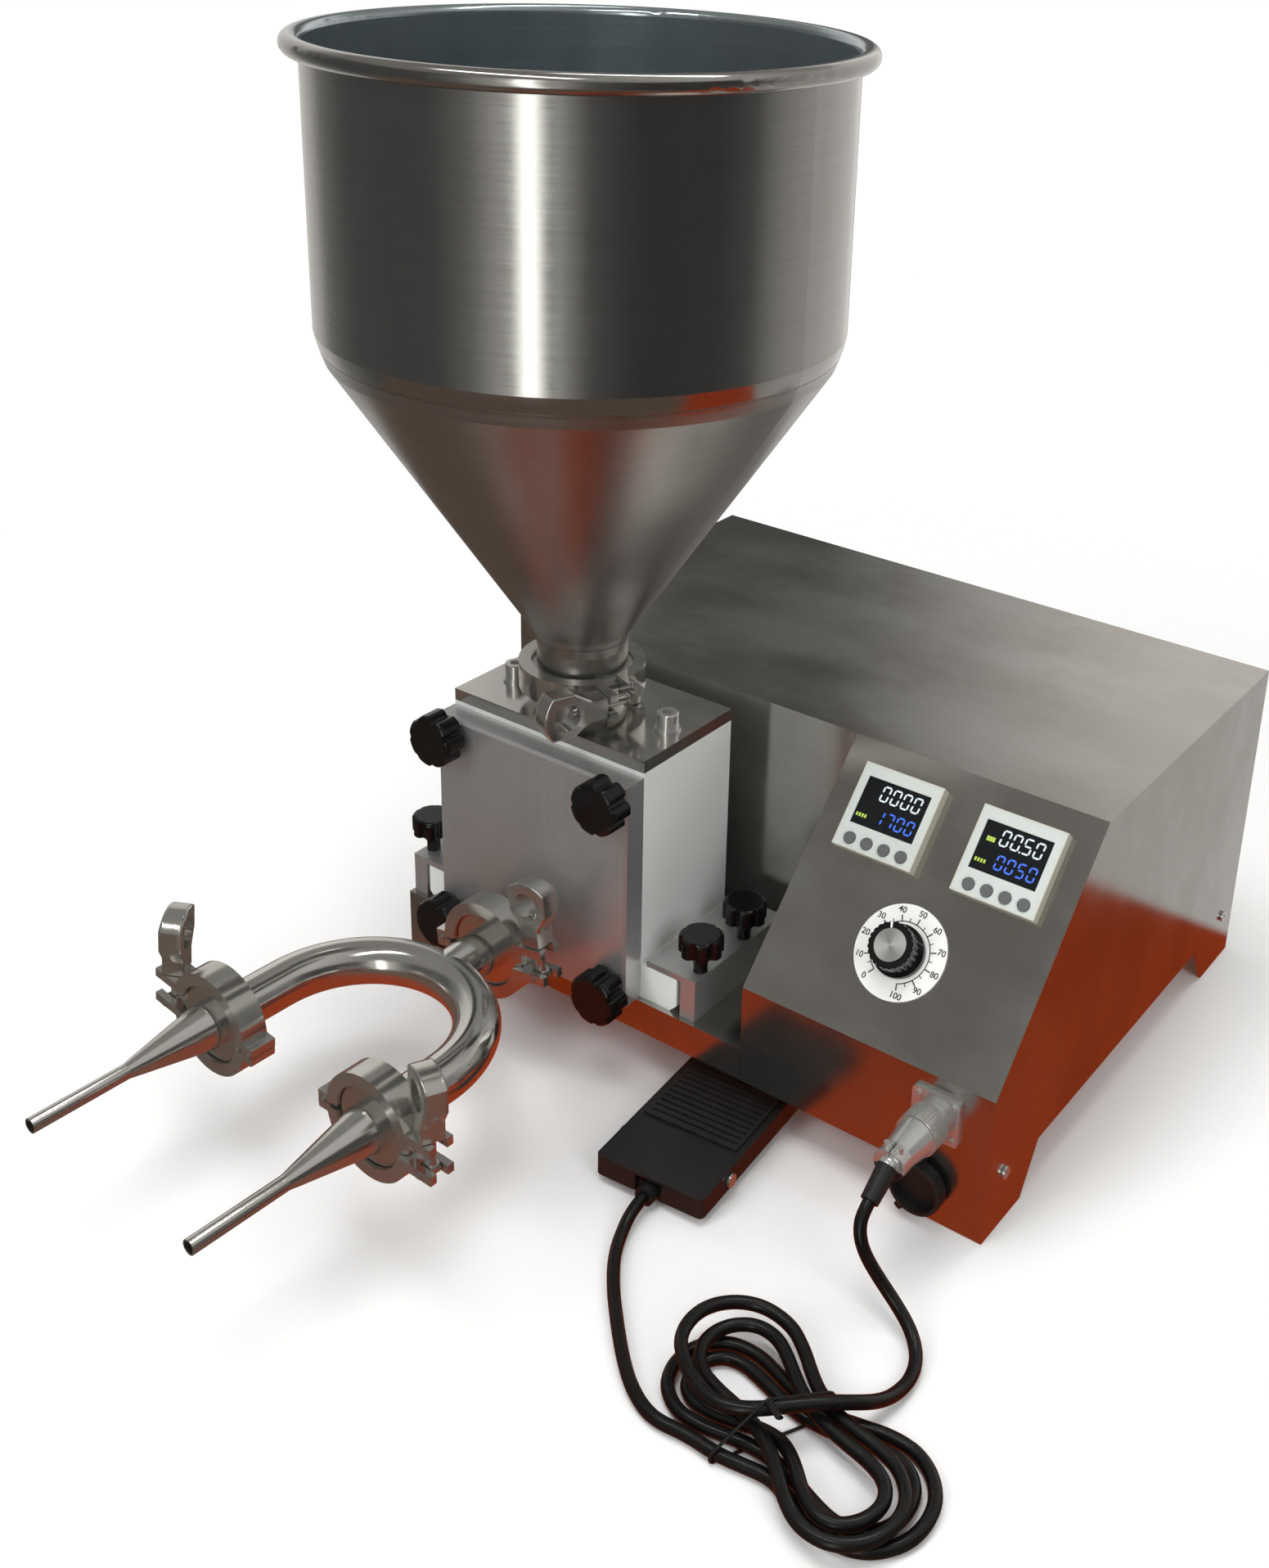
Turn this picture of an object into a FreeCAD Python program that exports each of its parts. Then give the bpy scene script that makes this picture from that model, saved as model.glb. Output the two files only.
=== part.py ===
"""Cake filling machine: a gear pump with a hopper, a two-nozzle manifold, timers and a foot pedal.

Millimetres, +Z up. Sizes are worked out in a machine frame with X = 0 at the cabinet's right side,
Y = 0 at the console's front face and Z = 0 on the table. Every piece is moved from there so that the
origin is under the middle of the machine's outline, on the table.
"""
import FreeCAD
import Part
import math
import os

from FreeCAD import Vector

# Cabinet, folded from stainless sheet
SHEET = 1.5
CABINET_W = 398.0
CABINET_D = 328.0
CABINET_H = 197.0
CONSOLE_W = 151.0
FRONT_WALL_Y = 102.5
CREASE_Z = 87.5
DECK_Z = 48.0
ARCH_Z = 28.0
FOOT_SIDE = 42.0
FOOT_FRONT = 34.0
FOOT_FLARE = 16.0
FOOT_FLARE_FRONT = 26.0
SHEET_GAP = 0.2
REAR_FLANGE = 12.0
VENT_COUNT = 7
VENT_L = 60.0
VENT_W = 4.0
VENT_PITCH = 11.0

# Pump block, plates and ports
PUMP_X = -290.5
PUMP_W = 137.0
PUMP_Y = 3.5
PUMP_D = 79.0
PUMP_TOP = 189.5
FLANGE_W = 25.0
FLANGE_H = 21.8
FLANGE_CHAMFER = 4.5
FRONT_PLATE_T = 15.0
FRONT_PLATE_H = 139.0
PLATE_BEVEL = 1.6
TOP_PLATE_T = 7.2
PORT_X = -295.5
INLET_Y = 40.0
INLET_BORE_R = 23.0
OUTLET_Z = 73.0
OUTLET_BORE_R = 11.0
SPIGOT_R = 13.5
SPIGOT_L = 10.0

# Pumping gears
GEAR_Z = 115.0
TEETH = 14
MODULE = 3.0
PRESSURE_ANGLE = 20.0
BACKLASH = 0.30
GEAR_L = 44.0
GEAR_END_GAP = 0.3
CHAMBER_GAP = 0.35
SHAFT_R = 8.0
JOURNAL_R = 6.0
JOURNAL_L = 8.0
RUNNING_GAP = 0.05
SHAFT_END_Y = 124.0

# Drive inside the cabinet
BEARING_R = 16.0
HOUSING_R = 30.0
COUPLING_R = 16.0
COUPLING_L = 30.0
COUPLING_Y = 110.0
MOTOR_SHAFT_R = 7.5
GEARBOX = 84.0
GEARBOX_L = 60.0
GEARBOX_Y = 150.0
MOTOR_R = 38.0
MOTOR_L = 95.0
BOARD = (88.0, 120.0, 1.6)
BOARD_GAP = 18.0

# Sanitary tube, ferrules and clamps
NECK_R = 25.4
TUBE_R = 12.7
TUBE_WALL = 1.5
FERRULE_R_LARGE = 32.0
FERRULE_R_SMALL = 25.25
FERRULE_T = 2.85
TAPER_DEG = 20.0
GASKET_T = 1.6
GASKET_W = 8.7
CLAMP_R_LARGE = 35.6
CLAMP_R_SMALL = 29.0
CLAMP_W = 15.0
CLAMP_GAP = 0.25
CLAMP_SPLIT = 3.0
EAR_L = 15.0
EAR_T = 5.0
EAR_GAP = 11.0
BOLT_R = 3.0
BOLT_OFFSET = 7.0
BOLT_LEN = 30.0
BOLT_EYE_R = 4.0
BOLT_PIN_R = 1.5
NUT_H = 38.0
NUT_W = 26.0
NUT_T = 12.0
NUT_HUB_L = 9.0
NUT_SHOULDER = 20.0
NUT_CROWN = 5.0
NUT_WINDOW_R = 7.8
NUT_GAP = 0.4
MATE_Z = 214.5
MATE_Y = -37.5
NOZZLE_MATE_Y = -176.0

# Hopper, spun and welded stainless
HOPPER_WALL = 1.2
HOPPER_R = 137.5
NECK_TOP_Z = 238.0
SEAM_Z = 407.5
RIM_Z = 556.0
RIM_R = 141.5
BEAD_R = 5.0
SEAM_BEND = 9.0

# Manifold and nozzles
BEND_R = 61.0
BEND_Y = -136.0
BEND_YAW = -2.5
NOZZLE_NECK = 10.0
NOZZLE_CONE_Y = -226.0
NOZZLE_CONE_R = 5.2
NOZZLE_TIP_Y = -285.0
NOZZLE_R = 4.0
NOZZLE_WALL = 0.8

# Side clamp bars and star knobs
BAR_LEG_T = 10.0
BAR_LIP_T = 3.6
BAR_OVER = 6.0
BAR_D = 84.0
BAR_KNOB_Y = (15.0, 56.0)
STUD_R = 4.0
STUD_GAP = 0.1
KNOB_LOBES = 7
FRONT_KNOB_R = 16.0
FRONT_KNOB_H = 14.0
FRONT_KNOB_DX = 59.0
FRONT_KNOB_Z = (178.0, 58.5)
BAR_KNOB_R = 13.0
BAR_KNOB_H = 11.0
KNOB_HUB = 3.5
BAR_KNOB_LIFT = 9.0
STUD_DEPTH = 30.0

# Panel instruments; U runs to the right and V down the slanted panel
TIMER = 48.0
TIMER_BEZEL = 7.0
TIMER_BODY = 44.6
TIMER_DEPTH = 60.0
TIMER_U = (-134.9, -63.2)
TIMER_V = 14.0
WINDOW = (4.8, 7.0, 38.2, 27.0)
BUTTON_U = (8.8, 19.3, 29.8, 40.3)
BUTTON_V = 42.3
BUTTON_R = 3.3
BUTTON_OUT = 1.0
BUTTON_L = 3.5
BUTTON_GAP = 0.15
BUTTON_TRAVEL = 0.7
DIAL_U = -76.5
DIAL_V = 101.0
DIAL_R = 25.4
DIAL_T = 1.0
DIAL_KNOB_R = 12.4
DIAL_SKIRT_R = 14.0
DIAL_KNOB_H = 16.0
DIAL_CAP_R = 8.2
POT_R = 12.0
POT_L = 14.0
POT_SHAFT_R = 3.0

# Panel connector
SOCKET_X = -31.0
SOCKET_Z = 65.6
SOCKET_FLANGE = 27.0
SOCKET_SCREW_IN = 3.4
SOCKET_SCREW_R = 1.9
SOCKET_FLANGE_T = 2.6
SOCKET_R = 9.0
SOCKET_NOSE = 10.0
RING_R = 11.4
RING_FLUTES = 40
RING_FLUTE_R = 0.6
RING_Y = (-8.0, -21.0)
SHELL_R = 10.6
SHELL_END_Y = -39.0
CORD_CLAMP_R = 8.6
CORD_CLAMP_Y = -47.0
CLAMP_SCREW_R = 1.7
BOOT_R = 5.4
BOOT_END_R = 4.7
BOOT_L = 19.0
BOOT_DROOP = 32.0
CAP_X = -35.5
CAP_Z = 22.0
CAP_R = 15.0
CAP_DEPTH = 7.5
CAP_WALL = 2.2
CAP_FLOOR = 1.6
STRAP_T = 2.0

# Foot pedal, standing a little turned beside the console
PEDAL_W = 65.0
PEDAL_L = 105.0
PEDAL_FRONT = (-150.5, -79.5)
PEDAL_YAW = 5.0
PEDAL_TOP = 17.0
PEDAL_WALL = 2.2
PEDAL_SKIRT_Z = 5.0
PEDAL_FOOT = 2.5
PIVOT_DY = 27.0
PIVOT_Z = 11.0
PIVOT_R = 2.5
PAD = (57.0, 62.0, 1.6)
PAD_DY = 40.0
PAD_RIBS = 14

# Pedal cord
CORD_R = 3.25
HANK_CENTRE = (-10.0, -156.0)
HANK_TURN = -4.0
HANK_FAN = -20.0
HANK_HALF_L = 54.0
HANK_HALF_W = 14.0
HANK_END_WIDER = 2.0
HANK_PINCH = 6.5
HANK_STEP = 7.6
HANK_END_STEP = 2.0
HANK_TURNS = 4
HANK_LAYER = 7.7
HANK_START = math.radians(270.0)
HANK_BEGIN = 0.09
HANK_END = 3.86
HANK_KNOTS = 12
HANK_LEAD = 2 * CORD_R

# Screws, rear fittings and pedal spring: inlet and switch openings as X, Z, width and height
SCREW_R = 1.6
SCREW_HEAD_R = 3.4
SCREW_HEAD_H = 1.8
SCREW_L = 7.0
SIDE_SCREW_Y = (18.5, CABINET_D - 18.5)
SIDE_SCREW_Z = 30.0 + SCREW_HEAD_R
CAP_SCREW_R = 6.0
CAP_SCREW_H = 7.0
CAP_SCREW_SHANK = 4.0
HEX_SOCKET_R = 3.2
HEX_SOCKET_DEPTH = 3.5
WASHER_R = 7.4
WASHER_T = 1.4
LOCK_WASHER_R = 6.3
LOCK_WASHER_T = 2.0
CAP_SCREW_XY = ((PUMP_X - 50.0, INLET_Y - 6.0), (PUMP_X + 55.0, INLET_Y + 1.0))
INLET_CUT = (-60.0, 75.0, 28.0, 21.0)
SWITCH_CUT = (-60.0, 112.0, 20.0, 14.0)
INLET_RIM = 3.0
INLET_RIM_T = 3.6
INLET_DEPTH = 24.0
SWITCH_TILT_DEG = 16.0
ROCKER_PIN_R = 1.2
SPRING_TURNS = 3
SPRING_R = 4.6
SPRING_WIRE = 0.5

PARTS = {}


def box(x0, x1, y0, y1, z0, z1):
    """A box between two corners."""
    return Part.makeBox(x1 - x0, y1 - y0, z1 - z0, Vector(x0, y0, z0))


def rod(start, axis, radius, length):
    """A solid round bar from a start point along an axis."""
    return Part.makeCylinder(radius, length, Vector(*start), Vector(*axis))


def pipe(start, axis, outer, inner, length):
    """A round tube from a start point along an axis."""
    return rod(start, axis, outer, length).cut(rod(start, axis, inner, length))


def prism(points, direction):
    """A straight prism over a polygon."""
    wire = Part.makePolygon([Vector(*p) for p in points] + [Vector(*points[0])])
    return Part.Face(wire).extrude(Vector(*direction))


def turned(profile):
    """A solid of revolution about Z from (radius, height) points."""
    wire = Part.makePolygon([Vector(r, 0, z) for r, z in profile]
                            + [Vector(profile[0][0], 0, profile[0][1])])
    return Part.Face(wire).revolve(Vector(0, 0, 0), Vector(0, 0, 1), 360)


def aim(shape, place, axis, side):
    """Move a shape whose own axis is Z and own side is X to a place, an axis and a side direction."""
    z = Vector(*axis).normalize()
    x = Vector(*side)
    x = (x - z * x.dot(z)).normalize()
    y = z.cross(x)
    matrix = FreeCAD.Matrix(x.x, y.x, z.x, place[0], x.y, y.y, z.y, place[1], x.z, y.z, z.z, place[2], 0,
                            0, 0, 1)
    out = shape.copy()
    out.transformShape(matrix)
    return out


def fuse(shapes):
    """One solid from shapes that touch."""
    return shapes[0].multiFuse(shapes[1:]).removeSplitter()


def add(name, *solids):
    """Keep a node as one or more separate solids."""
    PARTS[name] = solids[0] if len(solids) == 1 else Part.makeCompound(list(solids))


# Panel frame: the slanted panel runs from the top front edge down to the crease
PANEL_TOP = Vector(0, FRONT_WALL_Y, CABINET_H)
PANEL_DOWN = (Vector(0, 0, CREASE_Z) - PANEL_TOP).normalize()
PANEL_OUT = Vector(0, PANEL_DOWN.z, -PANEL_DOWN.y)
PANEL_L = (Vector(0, 0, CREASE_Z) - PANEL_TOP).Length
RIGHT = Vector(1, 0, 0)


def on_panel(u, v, w=0.0):
    """A point at U, V on the slanted panel, W above its face."""
    return PANEL_TOP + RIGHT * u + PANEL_DOWN * v + PANEL_OUT * w


def panel_box(u, v, width, height, w0, w1):
    """A box square to the slanted panel, from U, V to the right and down."""
    return aim(box(0, width, 0, height, 0, w1 - w0), on_panel(u, v + height, w0), PANEL_OUT, RIGHT)


def panel_rod(u, v, radius, w0, w1):
    """A round bar square to the slanted panel."""
    return Part.makeCylinder(radius, w1 - w0, on_panel(u, v, w0), PANEL_OUT)


def side_profile(front):
    """Outline of a cabinet side in Y and Z, from a front edge back, with a foot at the rear."""
    rear_top = CABINET_D - FOOT_SIDE - FOOT_FLARE
    rear_low = CABINET_D - FOOT_SIDE
    back = [(rear_top, ARCH_Z), (rear_low, 0), (CABINET_D, 0), (CABINET_D, CABINET_H),
            (FRONT_WALL_Y, CABINET_H)]
    return front + back


def front_foot():
    """The front foot of a side, as Y and Z points up to the arch."""
    return [(0, 0), (FOOT_SIDE, 0), (FOOT_SIDE + FOOT_FLARE, ARCH_Z)]


def yz_plate(profile, x0, x1):
    """A sheet in the YZ plane."""
    return prism([(x0, y, z) for y, z in profile], (x1 - x0, 0, 0))


def xz_plate(profile, y0, y1):
    """A sheet in the XZ plane."""
    return prism([(x, y0, z) for x, z in profile], (0, y1 - y0, 0))


def make_housing():
    """The welded cover: sides, top, front wall and the console with its slanted panel."""
    left = -CABINET_W
    edge = -CONSOLE_W
    right_side = yz_plate(side_profile(front_foot()) + [(0, CREASE_Z)], -SHEET, 0)
    left_side = yz_plate(side_profile([(FRONT_WALL_Y, ARCH_Z)]), left, left + SHEET)
    top = box(left, 0, FRONT_WALL_Y, CABINET_D, CABINET_H - SHEET, CABINET_H)
    wall = box(left, edge + SHEET, FRONT_WALL_Y, FRONT_WALL_Y + SHEET, ARCH_Z + 2 * SHEET, CABINET_H)
    face = [(edge, ARCH_Z), (-FOOT_FRONT - FOOT_FLARE_FRONT, ARCH_Z), (-FOOT_FRONT, 0), (0, 0),
            (0, CREASE_Z),
            (edge, CREASE_Z)]
    console_front = xz_plate(face, 0, SHEET)
    slant = panel_box(edge, 0, CONSOLE_W, PANEL_L, -SHEET, 0)
    low = ARCH_Z + SHEET
    cheek_outline = [(0, low), (FRONT_WALL_Y, low), (FRONT_WALL_Y, CABINET_H), (0, CREASE_Z)]
    cheek = yz_plate(cheek_outline, edge, edge + SHEET)
    inner = CABINET_D - SHEET
    lips = [box(left, left + REAR_FLANGE, inner, CABINET_D, ARCH_Z, CABINET_H),
            box(-REAR_FLANGE, 0, inner, CABINET_D, ARCH_Z, CABINET_H),
            box(left, 0, inner, CABINET_D, CABINET_H - REAR_FLANGE, CABINET_H)]
    lips += [xz_plate([(0, ARCH_Z), (0, 0), (-FOOT_SIDE, 0), (-FOOT_SIDE, ARCH_Z)], inner, CABINET_D),
             xz_plate([(left, ARCH_Z), (left, 0), (left + FOOT_SIDE, 0), (left + FOOT_SIDE, ARCH_Z)],
                      inner, CABINET_D)]
    shell = fuse([right_side, left_side, top, wall, console_front, slant, cheek] + lips)
    for u in TIMER_U:
        hole = (TIMER - TIMER_BODY) / 2 - SHEET_GAP
        size = TIMER_BODY + 2 * SHEET_GAP
        shell = shell.cut(panel_box(u + hole, TIMER_V + hole, size, size, -2 * SHEET, SHEET))
    shell = shell.cut(panel_rod(DIAL_U, DIAL_V, POT_SHAFT_R + 1.0, -2 * SHEET, SHEET))
    shell = shell.cut(rod((SOCKET_X, -SHEET, SOCKET_Z), (0, 1, 0), SOCKET_R + SHEET_GAP, 3 * SHEET))
    shell = shell.cut(rod((drive_x(), FRONT_WALL_Y - SHEET, GEAR_Z), (0, 1, 0), SHAFT_R + 2.0, 3 * SHEET))
    for place, axis in screw_places():
        shell = shell.cut(screw_hole(place, axis))
    return shell


def make_base_tray():
    """The folded tray: the deck under the pump, its skirts, the front left foot and the floor."""
    left = -CABINET_W
    edge = -CONSOLE_W - SHEET_GAP
    wall = FRONT_WALL_Y - SHEET_GAP
    deck = box(left, edge, 0, wall, DECK_Z - SHEET, DECK_Z)
    skirt = xz_plate([(left, 0), (left + FOOT_FRONT, 0), (left + FOOT_FRONT + FOOT_FLARE_FRONT, ARCH_Z),
                      (edge, ARCH_Z), (edge, DECK_Z), (left, DECK_Z)], 0, SHEET)
    side = yz_plate(front_foot() + [(wall, ARCH_Z), (wall, DECK_Z), (0, DECK_Z)], left, left + SHEET)
    inside = SHEET + SHEET_GAP
    floor = box(left + inside, -inside, inside, CABINET_D - inside, ARCH_Z, ARCH_Z + SHEET)
    strip = box(left, edge, 0, wall, ARCH_Z, ARCH_Z + SHEET)
    tray = fuse([deck, skirt, side, floor, strip])
    for x, y in bar_knob_places():
        tray = tray.cut(rod((x, y, DECK_Z - 2 * SHEET), (0, 0, 1), STUD_R + STUD_GAP, 3 * SHEET))
    for place, axis in screw_places():
        tray = tray.cut(screw_hole(place, axis))
    return tray


def make_rear_panel():
    """The screwed rear sheet with vent slots and the openings for the inlet and switch."""
    y0 = CABINET_D
    panel = box(-CABINET_W + 1, -1, y0, y0 + SHEET, ARCH_Z + 2, CABINET_H - 1)
    middle = -CABINET_W / 2
    for i in range(VENT_COUNT):
        z = CABINET_H / 2 + (i - (VENT_COUNT - 1) / 2) * VENT_PITCH
        slot = box(middle - VENT_L / 2, middle + VENT_L / 2, y0 - 1, y0 + SHEET + 1, z - VENT_W / 2,
                   z + VENT_W / 2)
        panel = panel.cut(slot)
    panel = panel.cut(rear_cut(INLET_CUT))
    panel = panel.cut(rear_cut(SWITCH_CUT))
    for place, axis in screw_places():
        panel = panel.cut(screw_hole(place, axis))
    return panel


# Rear panel openings: centre X, centre Z, width, height


def rear_cut(cut):
    """The box of a rear panel opening."""
    x, z, w, h = cut
    return box(x - w / 2, x + w / 2, CABINET_D - 1, CABINET_D + SHEET + 1, z - h / 2, z + h / 2)


def drive_x():
    """X of the driven gear's axis."""
    return PORT_X + MODULE * TEETH / 2


def idler_x():
    """X of the idler gear's axis."""
    return PORT_X - MODULE * TEETH / 2


def screw_places():
    """Places and outward axes of the small pan head screws of the cabinet."""
    places = [((0, y, SIDE_SCREW_Z), (1, 0, 0)) for y in SIDE_SCREW_Y]
    places += [((-CABINET_W, y, SIDE_SCREW_Z), (-1, 0, 0)) for y in SIDE_SCREW_Y]
    inset = REAR_FLANGE / 2
    back = CABINET_D + SHEET
    for x in (-inset, -CABINET_W + inset):
        places += [((x, back, z), (0, 1, 0)) for z in (2 * ARCH_Z, CABINET_H - REAR_FLANGE / 2 - 1)]
    return places


def screw_hole(place, axis):
    """The clearance hole of a small screw."""
    start = Vector(*place) - Vector(*axis) * (SCREW_L + 1)
    return rod(tuple(start), axis, SCREW_R + 0.15, SCREW_L + 2)


def pan_screw(place, axis):
    """A small pan head screw with a cross recess."""
    head = rod(place, axis, SCREW_HEAD_R, SCREW_HEAD_H)
    head = head.makeChamfer(0.6, [e for e in head.Edges if e.Length > 2 * math.pi * SCREW_HEAD_R
                                  - 1e-3][-1:])
    shank_start = Vector(*place) - Vector(*axis) * SCREW_L
    screw = head.fuse(rod(tuple(shank_start), axis, SCREW_R, SCREW_L + 0.1))
    slot = Part.makeBox(3.2, 0.7, 1.0, Vector(-1.6, -0.35, SCREW_HEAD_H - 0.9))
    slot = slot.fuse(Part.makeBox(0.7, 3.2, 1.0, Vector(-0.35, -1.6, SCREW_HEAD_H - 0.9)))
    side = (0, 0, 1) if abs(axis[2]) < 0.5 else (1, 0, 0)
    return screw.cut(aim(slot, place, axis, side))


def cap_screw(x, y):
    """A socket head screw on a lock washer and a washer, through the top plate into the block."""
    z = PUMP_TOP + TOP_PLATE_T
    lift = WASHER_T + LOCK_WASHER_T
    washer = rod((x, y, z), (0, 0, 1), WASHER_R, WASHER_T)
    lock = rod((x, y, z + WASHER_T), (0, 0, 1), LOCK_WASHER_R, LOCK_WASHER_T)
    head = rod((x, y, z + lift), (0, 0, 1), CAP_SCREW_R, CAP_SCREW_H)
    head = head.makeChamfer(0.5, [e for e in head.Edges if e.BoundBox.ZMin > z + lift + CAP_SCREW_H - 0.1])
    shank = rod((x, y, z - 25), (0, 0, 1), CAP_SCREW_SHANK, 25 + lift)
    corners = [math.radians(60 * i) for i in range(6)]
    floor = z + lift + CAP_SCREW_H - HEX_SOCKET_DEPTH
    socket = prism([(x + HEX_SOCKET_R * math.cos(a), y + HEX_SOCKET_R * math.sin(a),
                     floor) for a in corners],
                   (0, 0, HEX_SOCKET_DEPTH + 1))
    return fuse([washer, lock, head, shank]).cut(socket)


def gear_profile(phase):
    """The outline of a gear with involute flanks, as a face at the origin."""
    pitch = MODULE * TEETH / 2
    base = pitch * math.cos(math.radians(PRESSURE_ANGLE))
    outer = pitch + 0.9 * MODULE
    root = pitch - 1.25 * MODULE
    inv = math.tan(math.radians(PRESSURE_ANGLE)) - math.radians(PRESSURE_ANGLE)
    half = math.pi / (2 * TEETH) - BACKLASH / (2 * pitch) + inv

    def flank(radius, side, centre):
        roll = math.sqrt(max(0.0, (radius / base) ** 2 - 1))
        angle = centre + side * (half - (roll - math.atan(roll)))
        return Vector(radius * math.cos(angle), radius * math.sin(angle), 0)

    edges = []
    steps = 5
    radii = [base + (outer - base) * i / steps for i in range(steps + 1)]
    for tooth in range(TEETH):
        centre = phase + 2 * math.pi * tooth / TEETH
        after = centre + 2 * math.pi / TEETH
        foot = centre + half
        points = [flank(r, -1, centre) for r in radii]
        inner = Vector(root * math.cos(centre - half), root * math.sin(centre - half), 0)
        edges.append(Part.LineSegment(inner, points[0]).toShape())
        curve = Part.BSplineCurve()
        curve.interpolate(points)
        edges.append(curve.toShape())
        tip = Vector(outer * math.cos(centre), outer * math.sin(centre), 0)
        mirrored = [flank(r, 1, centre) for r in reversed(radii)]
        edges.append(Part.Arc(points[-1], tip, mirrored[0]).toShape())
        curve = Part.BSplineCurve()
        curve.interpolate(mirrored)
        edges.append(curve.toShape())
        outer_foot = Vector(root * math.cos(foot), root * math.sin(foot), 0)
        edges.append(Part.LineSegment(mirrored[-1], outer_foot).toShape())
        valley = (foot + after - half) / 2
        middle = Vector(root * math.cos(valley), root * math.sin(valley), 0)
        next_foot = Vector(root * math.cos(after - half), root * math.sin(after - half), 0)
        edges.append(Part.Arc(outer_foot, middle, next_foot).toShape())
    return Part.Face(Part.Wire(edges))


def make_gear(x, phase, shaft_end):
    """A pumping gear with its shaft turned in one piece, running front to back."""
    start = PUMP_Y + GEAR_END_GAP
    gear = gear_profile(phase).extrude(Vector(0, 0, GEAR_L))
    gear = aim(gear, (x, start, GEAR_Z), (0, 1, 0), (1, 0, 0))
    front = rod((x, start - JOURNAL_L, GEAR_Z), (0, 1, 0), JOURNAL_R, JOURNAL_L + 1)
    back = rod((x, start + GEAR_L - 1, GEAR_Z), (0, 1, 0), SHAFT_R, shaft_end - start - GEAR_L + 1)
    return fuse([gear, front, back])


def chamber_depth():
    """Depth of the gear chambers from the block's front face."""
    return GEAR_L + 2 * GEAR_END_GAP


def make_pump_body():
    """The white block with the twin gear chambers, the inlet, the outlet channel and side flanges."""
    left = PUMP_X - PUMP_W / 2
    right = PUMP_X + PUMP_W / 2
    back = PUMP_Y + PUMP_D
    block = box(left, right, PUMP_Y, back, DECK_Z, PUMP_TOP)
    low = FLANGE_CHAMFER
    feet = xz_plate([(left - FLANGE_W + low, DECK_Z), (right + FLANGE_W - low, DECK_Z),
                     (right + FLANGE_W, DECK_Z + low), (right + FLANGE_W, DECK_Z + FLANGE_H),
                     (left - FLANGE_W, DECK_Z + FLANGE_H), (left - FLANGE_W, DECK_Z + low)], PUMP_Y, back)
    body = fuse([block, feet])
    chamber_r = MODULE * TEETH / 2 + 0.9 * MODULE + CHAMBER_GAP
    deep = chamber_depth()
    start = PUMP_Y - 1
    for x in (drive_x(), idler_x()):
        body = body.cut(rod((x, start, GEAR_Z), (0, 1, 0), chamber_r, deep + 1))
    body = body.cut(rod((drive_x(), start, GEAR_Z), (0, 1, 0), SHAFT_R + RUNNING_GAP, PUMP_D + 2))
    body = body.cut(rod((idler_x(), start, GEAR_Z), (0, 1, 0), SHAFT_R + RUNNING_GAP,
                        idler_end() + 2 - start))
    inlet_y = PUMP_Y + deep / 2
    body = body.cut(rod((PORT_X, INLET_Y, PUMP_TOP - 25), (0, 0, 1), INLET_BORE_R, 26))
    body = body.cut(rod((PORT_X, inlet_y, GEAR_Z), (0, 0, 1), INLET_BORE_R * 0.7, PUMP_TOP - 10 - GEAR_Z))
    body = body.cut(rod((PORT_X, inlet_y, OUTLET_Z), (0, 0, 1), OUTLET_BORE_R, GEAR_Z - OUTLET_Z))
    body = body.cut(rod((PORT_X, start, OUTLET_Z), (0, 1, 0), OUTLET_BORE_R, inlet_y - start))
    for x, z in knob_places():
        body = body.cut(rod((x, start, z), (0, 1, 0), STUD_R + STUD_GAP, STUD_DEPTH + 2))
    for x, y in CAP_SCREW_XY:
        body = body.cut(rod((x, y, PUMP_TOP - 22), (0, 0, 1), CAP_SCREW_SHANK + STUD_GAP, 23))
    return body


def idler_end():
    """Y of the idler shaft's rear end, inside the block."""
    return PUMP_Y + chamber_depth() + 20.0


def knob_places():
    """X and Z of the four star knobs on the front plate."""
    return [(PUMP_X + side * FRONT_KNOB_DX, z) for z in FRONT_KNOB_Z for side in (-1, 1)]


def make_front_plate():
    """The aluminium front plate with a bevelled rim, bearing holes, knob holes and the outlet."""
    y0 = PUMP_Y - FRONT_PLATE_T
    plate = box(PUMP_X - PUMP_W / 2, PUMP_X + PUMP_W / 2, y0, PUMP_Y, DECK_Z + SHEET_GAP,
                DECK_Z + FRONT_PLATE_H)
    rim = [e for e in plate.Edges if all(abs(v.Y - y0) < 1e-6 for v in e.Vertexes)]
    plate = plate.makeChamfer(PLATE_BEVEL, rim)
    for x in (drive_x(), idler_x()):
        start = PUMP_Y + GEAR_END_GAP - JOURNAL_L - GEAR_END_GAP
        plate = plate.cut(rod((x, start, GEAR_Z), (0, 1, 0), JOURNAL_R + RUNNING_GAP, JOURNAL_L + 1))
    for x, z in knob_places():
        plate = plate.cut(rod((x, y0 - 1, z), (0, 1, 0), STUD_R + 2 * STUD_GAP, FRONT_PLATE_T + 2))
    plate = plate.cut(rod((PORT_X, y0 - 1, OUTLET_Z), (0, 1, 0), OUTLET_BORE_R, FRONT_PLATE_T + 2))
    return plate.cut(rod((PORT_X, y0 - 1, OUTLET_Z), (0, 1, 0), SPIGOT_R + STUD_GAP / 2, SPIGOT_L + 1))


def ferrule(rim_r, bore_r, neck_r, neck_l):
    """A clamp ferrule on Z: its face at half a gasket above zero, its neck going up."""
    face = GASKET_T / 2
    slope = math.tan(math.radians(TAPER_DEG))
    shoulder_r = rim_r - 5.0
    shoulder = face + FERRULE_T + (rim_r - shoulder_r) * slope
    return turned([(bore_r, face), (rim_r, face), (rim_r, face + FERRULE_T), (shoulder_r, shoulder),
                   (neck_r, shoulder), (neck_r, neck_l), (bore_r, neck_l)])


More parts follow.
